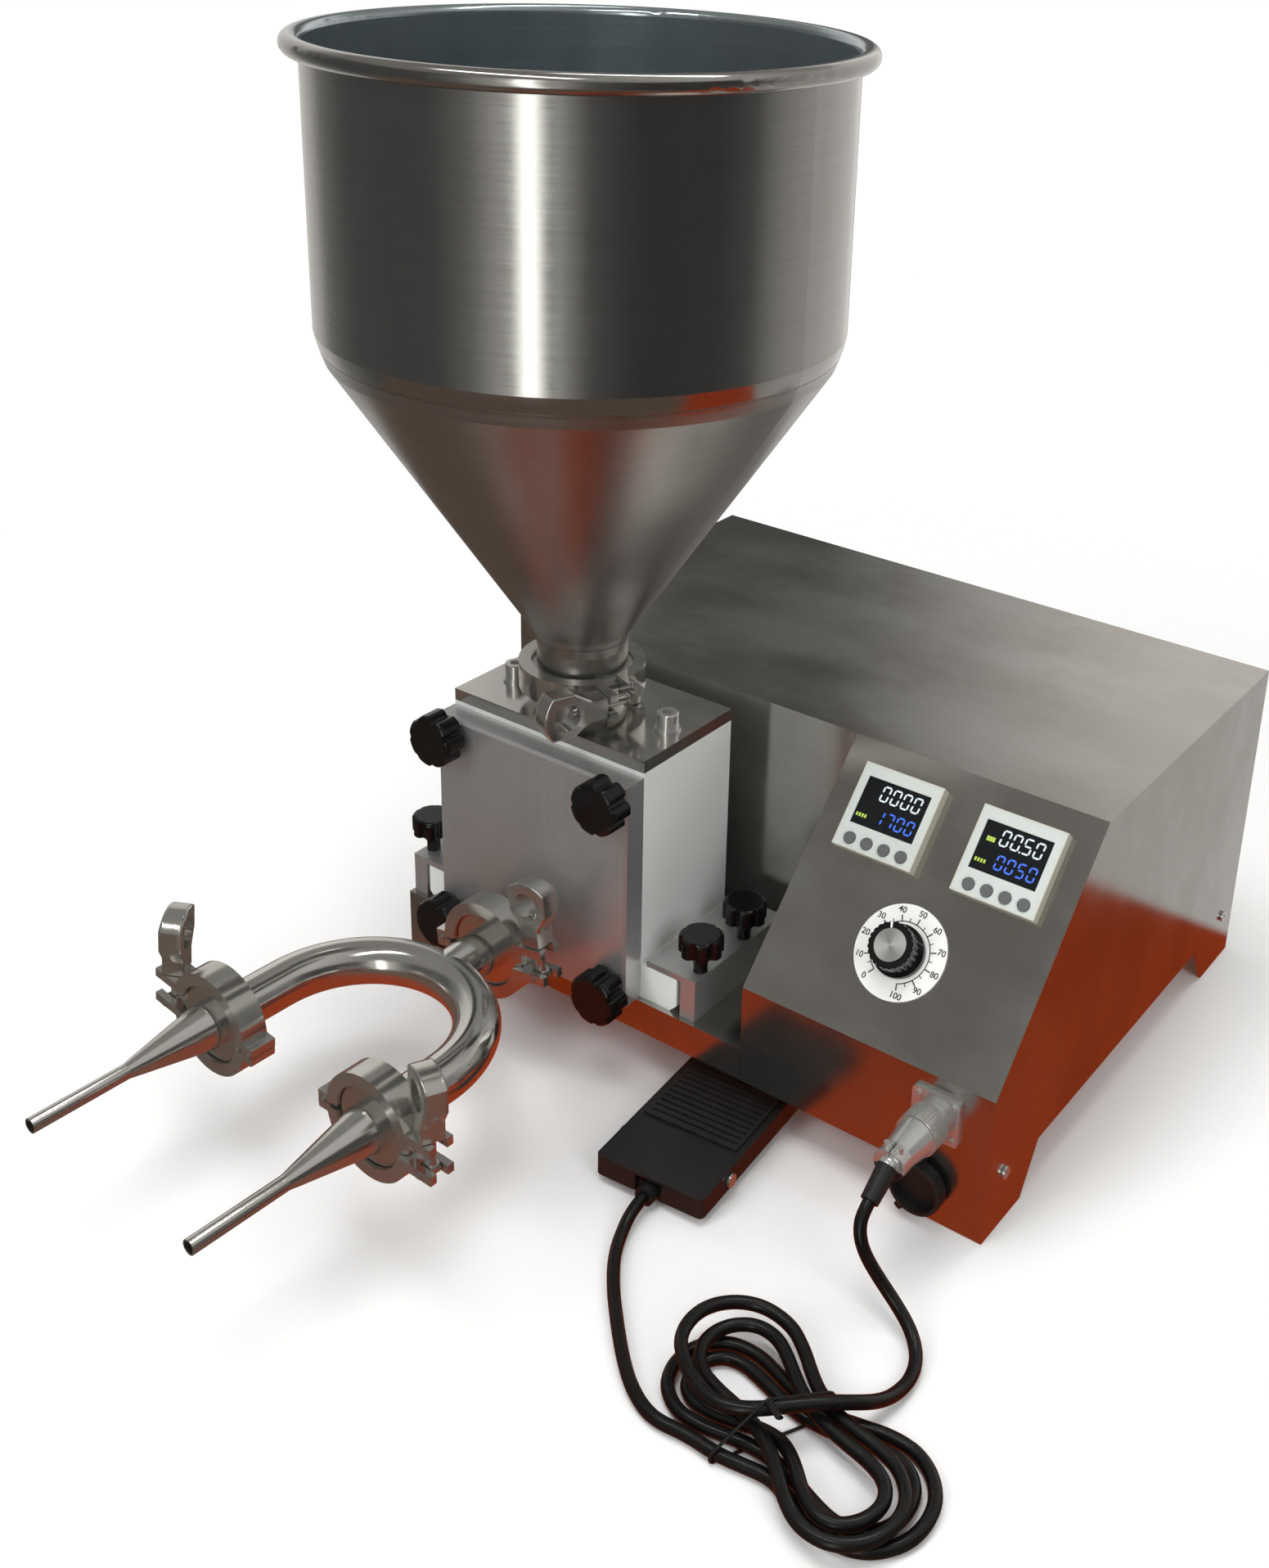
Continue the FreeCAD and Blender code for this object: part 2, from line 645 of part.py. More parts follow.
def make_top_plate():
    """The stainless top plate with the inlet neck and its ferrule welded on."""
    left = PUMP_X - PUMP_W / 2
    z0 = PUMP_TOP
    plate = box(left, left + PUMP_W, PUMP_Y, PUMP_Y + PUMP_D, z0, z0 + TOP_PLATE_T)
    neck = aim(ferrule(FERRULE_R_LARGE, INLET_BORE_R, NECK_R, MATE_Z - z0 - TOP_PLATE_T),
               (PORT_X, INLET_Y, MATE_Z),
               (0, 0, -1), (1, 0, 0))
    plate = plate.fuse(neck).removeSplitter()
    plate = plate.cut(rod((PORT_X, INLET_Y, z0 - 1), (0, 0, 1), INLET_BORE_R, MATE_Z - z0))
    for x, y in CAP_SCREW_XY:
        plate = plate.cut(rod((x, y, z0 - 1), (0, 0, 1), CAP_SCREW_SHANK + STUD_GAP, TOP_PLATE_T + 2))
    return plate


def make_outlet_ferrule():
    """The outlet stub, screwed into the front plate, with a collar and a ferrule."""
    plate_y = PUMP_Y - FRONT_PLATE_T
    reach = plate_y - MATE_Y
    stub = ferrule(FERRULE_R_SMALL, OUTLET_BORE_R, TUBE_R, reach + 1)
    stub = aim(stub, (PORT_X, MATE_Y, OUTLET_Z), (0, 1, 0), (1, 0, 0))
    collar = pipe((PORT_X, plate_y - 4, OUTLET_Z), (0, 1, 0), SPIGOT_R + 3, OUTLET_BORE_R, 4)
    spigot = pipe((PORT_X, plate_y - 1, OUTLET_Z), (0, 1, 0), SPIGOT_R, OUTLET_BORE_R, SPIGOT_L + 1)
    return fuse([stub, collar, spigot])


def hopper_outline(inset):
    """The hopper's wall line from the neck to the rim as edges, moved in by the wall."""
    neck = NECK_R - inset
    body = HOPPER_R - inset
    low = MATE_Z + GASKET_T / 2
    slope = math.atan2(SEAM_Z - NECK_TOP_Z, HOPPER_R - NECK_R)
    cut = SEAM_BEND
    before = (body - cut * math.cos(slope), SEAM_Z - cut * math.sin(slope))
    after = (body, SEAM_Z + cut)
    middle = (body - 0.22 * cut, SEAM_Z + 0.12 * cut)
    neck_cut = 6.0
    neck_low = (neck, NECK_TOP_Z - neck_cut)
    neck_up = (neck + neck_cut * math.cos(slope), NECK_TOP_Z + neck_cut * math.sin(slope))
    neck_mid = (neck + 0.18 * neck_cut, NECK_TOP_Z - 0.02 * neck_cut)

    def at(point):
        return Vector(point[0], 0, point[1])

    return [Part.LineSegment(Vector(neck, 0, low), at(neck_low)).toShape(),
            Part.Arc(at(neck_low), at(neck_mid), at(neck_up)).toShape(),
            Part.LineSegment(at(neck_up), at(before)).toShape(),
            Part.Arc(at(before), at(middle), at(after)).toShape(),
            Part.LineSegment(at(after), Vector(body, 0, RIM_Z)).toShape()]


def filled(inset, low, high):
    """The hopper's form as a filled solid of revolution."""
    edges = hopper_outline(inset)
    first = edges[0].Vertexes[0].Point
    last = edges[-1].Vertexes[-1].Point
    edges += [Part.LineSegment(last, Vector(last.x, 0, high)).toShape(),
              Part.LineSegment(Vector(last.x, 0, high), Vector(0, 0, high)).toShape(),
              Part.LineSegment(Vector(0, 0, high), Vector(0, 0, low)).toShape(),
              Part.LineSegment(Vector(0, 0, low), Vector(first.x, 0, low)).toShape(),
              Part.LineSegment(Vector(first.x, 0, low), first).toShape()]
    face = Part.Face(Part.Wire(Part.__sortEdges__(edges)))
    return face.revolve(Vector(0, 0, 0), Vector(0, 0, 1), 360)


def make_hopper():
    """The hopper: ferrule, neck, cone, cylinder and a rolled rim, open from top to bottom."""
    low = MATE_Z + GASKET_T / 2
    shell = filled(0, low - 0.5, RIM_Z + 0.5)
    bead = Part.makeTorus(RIM_R, BEAD_R, Vector(0, 0, RIM_Z))
    foot = ferrule(FERRULE_R_LARGE, INLET_BORE_R, NECK_R, 12.0)
    foot.translate(Vector(0, 0, MATE_Z))
    body = shell.fuse(bead).fuse(foot)
    body = body.cut(filled(HOPPER_WALL, low - 5, RIM_Z + 20))
    body = body.cut(rod((0, 0, low - 5), (0, 0, 1), INLET_BORE_R + 2 * HOPPER_WALL, 5.0))
    body.translate(Vector(PORT_X, INLET_Y, 0))
    return body


def clamp_halves(outer_r, rim_r):
    """Two clamp ring halves about Z with hinge lugs at -X and slotted ears at +X."""
    half_w = CLAMP_W / 2
    slope = math.tan(math.radians(TAPER_DEG))
    groove = GASKET_T / 2 + FERRULE_T + CLAMP_GAP
    lip_r = rim_r - 3.4
    lip = groove + (rim_r + CLAMP_GAP - lip_r) * slope
    ring = turned([(outer_r, -half_w), (outer_r, half_w), (lip_r, half_w), (lip_r, lip),
                   (rim_r + CLAMP_GAP, groove),
                   (rim_r + CLAMP_GAP, -groove), (lip_r, -lip), (lip_r, -half_w)])
    halves = []
    for side in (-1, 1):
        near = EAR_GAP / 2 * side
        far = (EAR_GAP / 2 + EAR_T) * side
        ear = box(outer_r - 3.5, outer_r + EAR_L, min(near, far), max(near, far), -half_w, half_w)
        slot_x = outer_r + BOLT_OFFSET - BOLT_R - 0.6
        slot = box(slot_x, outer_r + EAR_L + 1, min(near, far) - 1, max(near, far) + 1, -BOLT_R - 0.6,
                   BOLT_R + 0.6)
        lug_near = 0.2 * side
        lug = box(-outer_r - 6, -outer_r + 2.2, min(lug_near, 5 * side), max(lug_near, 5 * side), -half_w,
                  half_w)
        split = CLAMP_SPLIT / 2 * side
        keep = box(-2 * outer_r, 2 * outer_r, min(split, 60 * side), max(split, 60 * side), -half_w - 1,
                   half_w + 1)
        mouth = box(0, 2 * outer_r, -EAR_GAP / 2, EAR_GAP / 2, -half_w - 1, half_w + 1)
        half = ring.common(keep).cut(mouth).fuse([lug, ear]).removeSplitter().cut(slot)
        halves.append(half.cut(rod((-outer_r - 3, 0, -20), (0, 0, 1), 2.1, 40)))
    return halves


def make_clamp(outer_r, rim_r, place, axis, ear):
    """A clamp: two ring halves, the hinge pin and the eye bolt held in the first half's ear."""
    halves = clamp_halves(outer_r, rim_r)
    pin = rod((-outer_r - 3, 0, -CLAMP_W / 2 - 1), (0, 0, 1), 2.0, CLAMP_W + 2)
    x = outer_r + BOLT_OFFSET
    y = -EAR_GAP / 2 - EAR_T / 2
    eye = rod((x, y, -BOLT_R), (0, 0, 1), BOLT_EYE_R, 2 * BOLT_R)
    cross = rod((x, y, -CLAMP_W / 2 - 1), (0, 0, 1), BOLT_PIN_R, CLAMP_W + 2)
    bolt = rod((x, y, 0), (0, 1, 0), BOLT_R, BOLT_LEN - y)
    bolt = fuse([eye, bolt, cross])
    halves[0] = halves[0].cut(rod((x, y, -20), (0, 0, 1), BOLT_PIN_R + 0.2, 40))
    halves[0] = halves[0].cut(rod((x, y, -BOLT_R - 0.6), (0, 0, 1), BOLT_EYE_R + 0.3, 2 * BOLT_R + 1.2))
    return [aim(piece, place, axis, ear) for piece in halves + [pin, bolt]]


def make_wing_nut(outer_r, place, axis, ear, bow_way):
    """A cast wing nut: a hub on the bolt that widens to a flat-topped bow with a round window."""
    half = NUT_W / 2
    hub = NUT_T / 2
    crown = NUT_H - NUT_CROWN
    p = [Vector(-hub, 0, 0), Vector(-hub, 0, NUT_HUB_L), Vector(-half, 0, NUT_SHOULDER),
         Vector(-half, 0, crown),
         Vector(0, 0, NUT_H), Vector(half, 0, crown), Vector(half, 0, NUT_SHOULDER), Vector(hub, 0,
                                                                                            NUT_HUB_L),
         Vector(hub, 0, 0)]
    pairs = [(0, 1), (1, 2), (2, 3), (5, 6), (6, 7), (7, 8), (8, 0)]
    edges = [Part.LineSegment(p[i], p[j]).toShape() for i, j in pairs]
    edges.insert(3, Part.Arc(p[3], p[4], p[5]).toShape())
    bow = Part.Face(Part.Wire(edges)).extrude(Vector(0, NUT_T, 0))
    bow.translate(Vector(0, -NUT_T / 2, 0))
    rims = [e for e in bow.Edges if e.BoundBox.YLength < 1e-3 and e.BoundBox.ZMin > 1]
    bow = bow.makeFillet(1.6, rims)
    window = rod((0, -NUT_T, (NUT_SHOULDER + crown) / 2 - 2), (0, 1, 0), NUT_WINDOW_R, 2 * NUT_T)
    bow = bow.cut(window).cut(rod((0, 0, -1), (0, 0, 1), BOLT_R + STUD_GAP / 2, NUT_SHOULDER + 5))
    z = Vector(*axis).normalize()
    x = Vector(*ear)
    x = (x - z * x.dot(z)).normalize()
    up = z.cross(x)
    foot = Vector(*place) + x * (outer_r + BOLT_OFFSET) + up * (EAR_GAP / 2 + EAR_T + NUT_GAP)
    return aim(bow, foot, up, bow_way)


def on_bend(x, y):
    """A point of the bend's plane, turned with the bend about its crown."""
    turn = math.radians(BEND_YAW)
    crown = BEND_Y + BEND_R
    return (PORT_X + (x - PORT_X) * math.cos(turn) - (y - crown) * math.sin(turn),
            crown + (x - PORT_X) * math.sin(turn) + (y - crown) * math.cos(turn), OUTLET_Z)


def along_bend(x, y, z=0.0):
    """A direction turned with the bend."""
    turn = math.radians(BEND_YAW)
    return (x * math.cos(turn) - y * math.sin(turn), x * math.sin(turn) + y * math.cos(turn), z)


# Each clamp: outer radius, ferrule radius, place, ring axis, direction of the ears and of the nut's bow
CLAMPS = {
    "hopper": (CLAMP_R_LARGE, FERRULE_R_LARGE, (PORT_X, INLET_Y, MATE_Z), (0, 0, -1), (0.93, -0.36, 0),
               (0.2, 0.5, 1)),
    "outlet": (CLAMP_R_SMALL, FERRULE_R_SMALL, (PORT_X, MATE_Y, OUTLET_Z), (0, -1, 0), (0.99, 0, 0.14),
               (1, 0, 0)),
    "left": (CLAMP_R_SMALL, FERRULE_R_SMALL, on_bend(PORT_X - BEND_R, NOZZLE_MATE_Y), along_bend(0, 1),
             along_bend(-0.99, 0, 0.12), (-0.57, 0.82, 0)),
    "right": (CLAMP_R_SMALL, FERRULE_R_SMALL, on_bend(PORT_X + BEND_R, NOZZLE_MATE_Y), along_bend(0, -1),
              along_bend(1, 0), (0.89, -0.46, 0)),
}


def make_gasket(rim_r, place, axis):
    """A gasket between two ferrules."""
    thick = GASKET_T - 0.1
    return aim(pipe((0, 0, -thick / 2), (0, 0, 1), rim_r - 0.3, rim_r - GASKET_W, thick), place, axis,
               (0.6, 0.5, 0.4))


def make_manifold():
    """The polished U tube: an inlet stub at its crown and a ferrule on each leg."""
    inner = TUBE_R - TUBE_WALL

    def turned_tube(radius):
        arc = Part.Arc(Vector(PORT_X - BEND_R, BEND_Y, OUTLET_Z), Vector(PORT_X, BEND_Y + BEND_R, OUTLET_Z),
                       Vector(PORT_X + BEND_R, BEND_Y, OUTLET_Z)).toShape()
        circle = Part.Wire(Part.makeCircle(radius, Vector(PORT_X - BEND_R, BEND_Y, OUTLET_Z),
                                           Vector(0, 1, 0)))
        bend = Part.Wire(arc).makePipe(Part.Face(circle))
        legs = [rod((PORT_X + s * BEND_R, BEND_Y, OUTLET_Z), (0, -1, 0), radius, BEND_Y - NOZZLE_MATE_Y - 3)
                for s in (-1, 1)]
        tube = bend.fuse(legs)
        tube.rotate(Vector(PORT_X, BEND_Y + BEND_R, OUTLET_Z), Vector(0, 0, 1), BEND_YAW)
        return tube

    crown = BEND_Y + BEND_R
    stub = ferrule(FERRULE_R_SMALL, inner, TUBE_R, MATE_Y - crown)
    stub = aim(stub, (PORT_X, MATE_Y, OUTLET_Z), (0, -1, 0), (1, 0, 0))
    body = turned_tube(TUBE_R).fuse(stub)
    for s in (-1, 1):
        end = ferrule(FERRULE_R_SMALL, inner, TUBE_R, 15.0)
        body = body.fuse(aim(end, on_bend(PORT_X + s * BEND_R, NOZZLE_MATE_Y), along_bend(0, 1), (1, 0, 0)))
    body = body.cut(turned_tube(inner))
    return body.cut(rod((PORT_X, MATE_Y, OUTLET_Z), (0, -1, 0), inner, MATE_Y - crown)).removeSplitter()


def make_nozzle(x):
    """A nozzle on one leg of the bend: ferrule, neck, long cone and a thin injection tube."""
    start = GASKET_T / 2
    slope = math.tan(math.radians(TAPER_DEG))
    shoulder_r = FERRULE_R_SMALL - 5.0
    shoulder = start + FERRULE_T + (FERRULE_R_SMALL - shoulder_r) * slope
    cone = NOZZLE_MATE_Y - NOZZLE_CONE_Y
    tip = NOZZLE_MATE_Y - NOZZLE_TIP_Y
    bore = TUBE_R - TUBE_WALL
    end_bore = NOZZLE_R - NOZZLE_WALL
    profile = [(bore, start), (FERRULE_R_SMALL, start), (FERRULE_R_SMALL, start + FERRULE_T),
               (shoulder_r, shoulder),
               (TUBE_R, shoulder), (TUBE_R, NOZZLE_NECK), (NOZZLE_CONE_R, cone), (NOZZLE_R,
                                                                                  cone + 6), (NOZZLE_R,
                                                                                              tip),
               (end_bore, tip), (end_bore, cone + 4), (bore, NOZZLE_NECK)]
    return aim(turned(profile), on_bend(x, NOZZLE_MATE_Y), along_bend(0, -1), (1, 0, 0))


def bar_outer():
    """Distance from the pump's middle to a clamp bar's outer face."""
    return CABINET_W + PUMP_X - SHEET


def bar_knob_places():
    """X and Y of the four star knobs on the clamp bars."""
    reach = bar_outer() - BAR_LEG_T / 2
    return [(PUMP_X + side * reach, y) for side in (-1, 1) for y in BAR_KNOB_Y]


def make_clamp_bar(side):
    """A side clamp bar: a leg on the deck and a lip over the block's flange."""
    flange_edge = PUMP_W / 2 + FLANGE_W
    outer = bar_outer()
    top = DECK_Z + FLANGE_H + SHEET_GAP + BAR_LIP_T
    leg_in = outer - BAR_LEG_T
    lip_in = flange_edge - FLANGE_W + BAR_OVER - 2
    outline = [(outer, DECK_Z), (outer, top), (lip_in, top), (lip_in, top - BAR_LIP_T),
               (leg_in, top - BAR_LIP_T),
               (leg_in, DECK_Z)]
    bar = xz_plate([(PUMP_X + side * x, z) for x, z in outline], PUMP_Y, PUMP_Y + BAR_D)
    for y in BAR_KNOB_Y:
        hole = rod((PUMP_X + side * (outer - BAR_LEG_T / 2), y, 0), (0, 0, 1), STUD_R + 2 * STUD_GAP,
                   top + 1)
        bar = bar.cut(hole)
    return bar


def star_knob(radius, height, stud):
    """A star knob on Z: a lobed head on a hub at zero, with its steel stud going down."""
    low = KNOB_HUB
    head = rod((0, 0, low), (0, 0, 1), radius * 0.80, height)
    lobe_r = radius * 0.30
    ring_r = radius - lobe_r
    lobes = [rod((ring_r * math.cos(a), ring_r * math.sin(a), low), (0, 0, 1), lobe_r, height)
             for a in [2 * math.pi * i / KNOB_LOBES for i in range(KNOB_LOBES)]]
    head = head.multiFuse(lobes).removeSplitter()
    rim = radius * 0.97
    top = low + height
    bend = radius * 0.2
    corner = math.sqrt(0.5)
    line = [Part.LineSegment(Vector(0, 0, low), Vector(rim, 0, low)).toShape(),
            Part.LineSegment(Vector(rim, 0, low), Vector(rim, 0, top - bend)).toShape(),
            Part.Arc(Vector(rim, 0, top - bend), Vector(rim - bend * (1 - corner), 0,
                                                        top - bend * (1 - corner)),
                     Vector(rim - bend, 0, top)).toShape(),
            Part.LineSegment(Vector(rim - bend, 0, top), Vector(0, 0, top)).toShape(),
            Part.LineSegment(Vector(0, 0, top), Vector(0, 0, low)).toShape()]
    head = head.common(Part.Face(Part.Wire(line)).revolve(Vector(0, 0, 0), Vector(0, 0, 1), 360))
    hub = rod((0, 0, 0), (0, 0, 1), radius * 0.5, low + 1)
    bolt = rod((0, 0, -stud), (0, 0, 1), STUD_R, stud + 1)
    return fuse([head, hub, bolt])


def make_timer(u):
    """A panel timer: bezel with a window recess and four button holes, and its case behind."""
    bezel = panel_box(u, TIMER_V, TIMER, TIMER, 0, TIMER_BEZEL)
    inset = (TIMER - TIMER_BODY) / 2
    case = panel_box(u + inset, TIMER_V + inset, TIMER_BODY, TIMER_BODY, -TIMER_DEPTH, 0)
    du, dv, w, h = WINDOW
    body = fuse([bezel, case])
    body = body.cut(panel_box(u + du, TIMER_V + dv, w, h, TIMER_BEZEL - 1.2, TIMER_BEZEL + 1))
    for bu in BUTTON_U:
        depth = TIMER_BEZEL + BUTTON_OUT - BUTTON_L - BUTTON_TRAVEL - 0.3
        body = body.cut(panel_rod(u + bu, TIMER_V + BUTTON_V, BUTTON_R + BUTTON_GAP, depth,
                                  TIMER_BEZEL + 1))
    window = panel_box(u + du + 0.1, TIMER_V + dv + 0.1, w - 0.2, h - 0.2, TIMER_BEZEL - 1.2,
                       TIMER_BEZEL - 0.2)
    return body, window


def make_button(u, bu):
    """A round timer button."""
    top = TIMER_BEZEL + BUTTON_OUT
    return panel_rod(u + bu, TIMER_V + BUTTON_V, BUTTON_R, top - BUTTON_L, top)


def make_dial_knob():
    """The fluted speed knob with its cap, bored for the potentiometer's shaft."""
    gap = 0.4
    skirt = panel_rod(DIAL_U, DIAL_V, DIAL_SKIRT_R, DIAL_T + gap, DIAL_T + gap + 3)
    body = panel_rod(DIAL_U, DIAL_V, DIAL_KNOB_R, DIAL_T + gap, DIAL_KNOB_H)
    for i in range(24):
        a = 2 * math.pi * i / 24
        u = DIAL_U + (DIAL_KNOB_R + 0.5) * math.cos(a)
        v = DIAL_V + (DIAL_KNOB_R + 0.5) * math.sin(a)
        body = body.cut(panel_rod(u, v, 1.0, DIAL_T + gap + 3, DIAL_KNOB_H + 1))
    cap = panel_rod(DIAL_U, DIAL_V, DIAL_CAP_R, DIAL_KNOB_H - 0.5, DIAL_KNOB_H + 0.6)
    knob = fuse([skirt, body, cap])
    return knob.cut(panel_rod(DIAL_U, DIAL_V, POT_SHAFT_R + RUNNING_GAP, 0, DIAL_KNOB_H - 4))


def make_potentiometer():
    """The speed potentiometer behind the panel, with its bush and shaft."""
    can = panel_rod(DIAL_U, DIAL_V, POT_R, -SHEET - POT_L, -SHEET - SHEET_GAP)
    shaft = panel_rod(DIAL_U, DIAL_V, POT_SHAFT_R, -SHEET - 1, DIAL_KNOB_H - 5)
    return fuse([can, shaft])


def square_flange(side, y0, y1):
    """A square plate in front of the console around the socket's axis."""
    h = side / 2
    return box(SOCKET_X - h, SOCKET_X + h, y0, y1, SOCKET_Z - h, SOCKET_Z + h)


def socket_screws():
    """Places of the four small screws at the socket flange's corners."""
    d = SOCKET_FLANGE / 2 - SOCKET_SCREW_IN
    return [(SOCKET_X + sx * d, SOCKET_Z + sz * d) for sx in (-1, 1) for sz in (-1, 1)]


def make_socket():
    """The panel socket: square flange with four screws, barrel in front and body behind the console's face."""
    flange = square_flange(SOCKET_FLANGE, -SOCKET_FLANGE_T, 0)
    flange = flange.makeFillet(2.0, [e for e in flange.Edges if abs(e.Length - SOCKET_FLANGE_T) < 1e-6])
    barrel = rod((SOCKET_X, -SOCKET_NOSE, SOCKET_Z), (0, 1, 0), SOCKET_R, SOCKET_NOSE + 16)
    heads = []
    for x, z in socket_screws():
        head = rod((x, -SOCKET_FLANGE_T - 1.1, z), (0, 1, 0), SOCKET_SCREW_R, 1.6)
        for slot in (box(x - 1.2, x + 1.2, -SOCKET_FLANGE_T - 2, -SOCKET_FLANGE_T - 0.5, z - 0.3, z + 0.3),
                     box(x - 0.3, x + 0.3, -SOCKET_FLANGE_T - 2, -SOCKET_FLANGE_T - 0.5, z - 1.2, z + 1.2)):
            head = head.cut(slot)
        heads.append(head)
    socket = fuse([flange, barrel] + heads)
    return socket.cut(rod((SOCKET_X, -SOCKET_NOSE - 1, SOCKET_Z), (0, 1, 0), SOCKET_R - 1.5, 8))


def make_coupling_ring():
    """The knurled coupling ring of the plug."""
    near, far = RING_Y
    ring = pipe((SOCKET_X, far, SOCKET_Z), (0, 1, 0), RING_R, SOCKET_R + 0.3, near - far)
    ridge = RING_R + RING_FLUTE_R / 2
    for i in range(RING_FLUTES):
        a = 2 * math.pi * i / RING_FLUTES
        flute = (SOCKET_X + ridge * math.cos(a), far + 1.0, SOCKET_Z + ridge * math.sin(a))
        ring = ring.cut(rod(flute, (0, 1, 0), RING_FLUTE_R, near - far - 2.0))
    return ring


def make_plug():
    """The plug's shell with its two-screw cord clamp, and the soft boot that droops behind it."""
    far = RING_Y[1]
    shell = Part.makeCone(CORD_CLAMP_R - 0.6, SHELL_R, far - 0.3 - SHELL_END_Y,
                          Vector(SOCKET_X, SHELL_END_Y, SOCKET_Z),
                          Vector(0, 1, 0))
    core = rod((SOCKET_X, far - 1, SOCKET_Z), (0, 1, 0), SOCKET_R - 2, 1 + RING_Y[0] - far - 3)
    clamp = rod((SOCKET_X, CORD_CLAMP_Y, SOCKET_Z), (0, 1, 0), CORD_CLAMP_R, SHELL_END_Y - CORD_CLAMP_Y)
    clamp = clamp.makeChamfer(0.6, [e for e in clamp.Edges if e.BoundBox.YMax < CORD_CLAMP_Y + 0.1])
    for z in (SOCKET_Z + BOOT_R, SOCKET_Z - CORD_CLAMP_R - 1):
        clamp = clamp.cut(box(SOCKET_X - 0.4, SOCKET_X + 0.4, CORD_CLAMP_Y - 1, SHELL_END_Y - 1, z,
                              z + CORD_CLAMP_R + 1 - BOOT_R))
    middle_y = (CORD_CLAMP_Y + SHELL_END_Y) / 2
    heads = []
    for side, lift in ((-1, 4.0), (1, 4.0)):
        x = SOCKET_X + side * 3.6
        heads.append(rod((x, middle_y, SOCKET_Z + BOOT_R + 0.6), (0, 0, 1), CLAMP_SCREW_R, lift))
    shell = shell.multiFuse([core, clamp] + heads).removeSplitter()
    hole = rod((SOCKET_X, CORD_CLAMP_Y - 1, SOCKET_Z), (0, 1, 0), BOOT_R + 0.1, 8)
    shell = shell.cut(hole)
    root = rod((SOCKET_X, CORD_CLAMP_Y, SOCKET_Z), (0, 1, 0), BOOT_R, 6)
    start, _, droop = boot_line()
    cone = Part.makeCone(BOOT_R, BOOT_END_R, BOOT_L, start, droop)
    joint = Part.makeSphere(BOOT_R, start)
    return shell, fuse([root, joint, cone])


def boot_line():
    """Start, end and direction of the boot."""
    tilt = math.radians(BOOT_DROOP)
    droop = Vector(0, -math.cos(tilt), -math.sin(tilt))
    start = Vector(SOCKET_X, CORD_CLAMP_Y, SOCKET_Z)
    return start, start + droop * BOOT_L, droop


def make_dust_cap():
    """The soft dust cap hanging below the socket on its strap, its cup to the front."""
    back = -STRAP_T - 0.5
    front = back - CAP_DEPTH
    cap = rod((CAP_X, front, CAP_Z), (0, 1, 0), CAP_R, CAP_DEPTH)
    cap = cap.makeFillet(0.8, [e for e in cap.Edges if e.BoundBox.YLength < 0.01])
    cap = cap.cut(rod((CAP_X, front - 1, CAP_Z), (0, 1, 0), CAP_R - CAP_WALL, CAP_DEPTH - CAP_FLOOR + 1))
    tab = prism([(CAP_X - 8, back, CAP_Z - 10.5), (CAP_X - 12.5, back, CAP_Z - 17),
                 (CAP_X - 9, back, CAP_Z - 19.5),
                 (CAP_X - 3, back, CAP_Z - 13)], (0, -4, 0))
    tab = tab.makeFillet(1.5, [e for e in tab.Edges if e.BoundBox.YLength > 3.9])
    strap = box(CAP_X - 2.5, CAP_X + 2.5, back - 1, back - 1 + STRAP_T, CAP_Z + CAP_R - 2,
                SOCKET_Z - SOCKET_FLANGE / 2 - 0.3)
    return fuse([cap, tab, strap])


def pedal_place(shape):
    """Turn and move a pedal piece from its own frame: X across, Y back from the front edge."""
    out = shape.copy()
    out.rotate(Vector(0, 0, 0), Vector(0, 0, 1), PEDAL_YAW)
    out.translate(Vector(PEDAL_FRONT[0], PEDAL_FRONT[1], 0))
    return out


def pedal_point(x, y, z):
    """A point of the pedal's own frame in the machine frame."""
    a = math.radians(PEDAL_YAW)
    return Vector(PEDAL_FRONT[0] + x * math.cos(a) - y * math.sin(a),
                  PEDAL_FRONT[1] + x * math.sin(a) + y * math.cos(a), z)


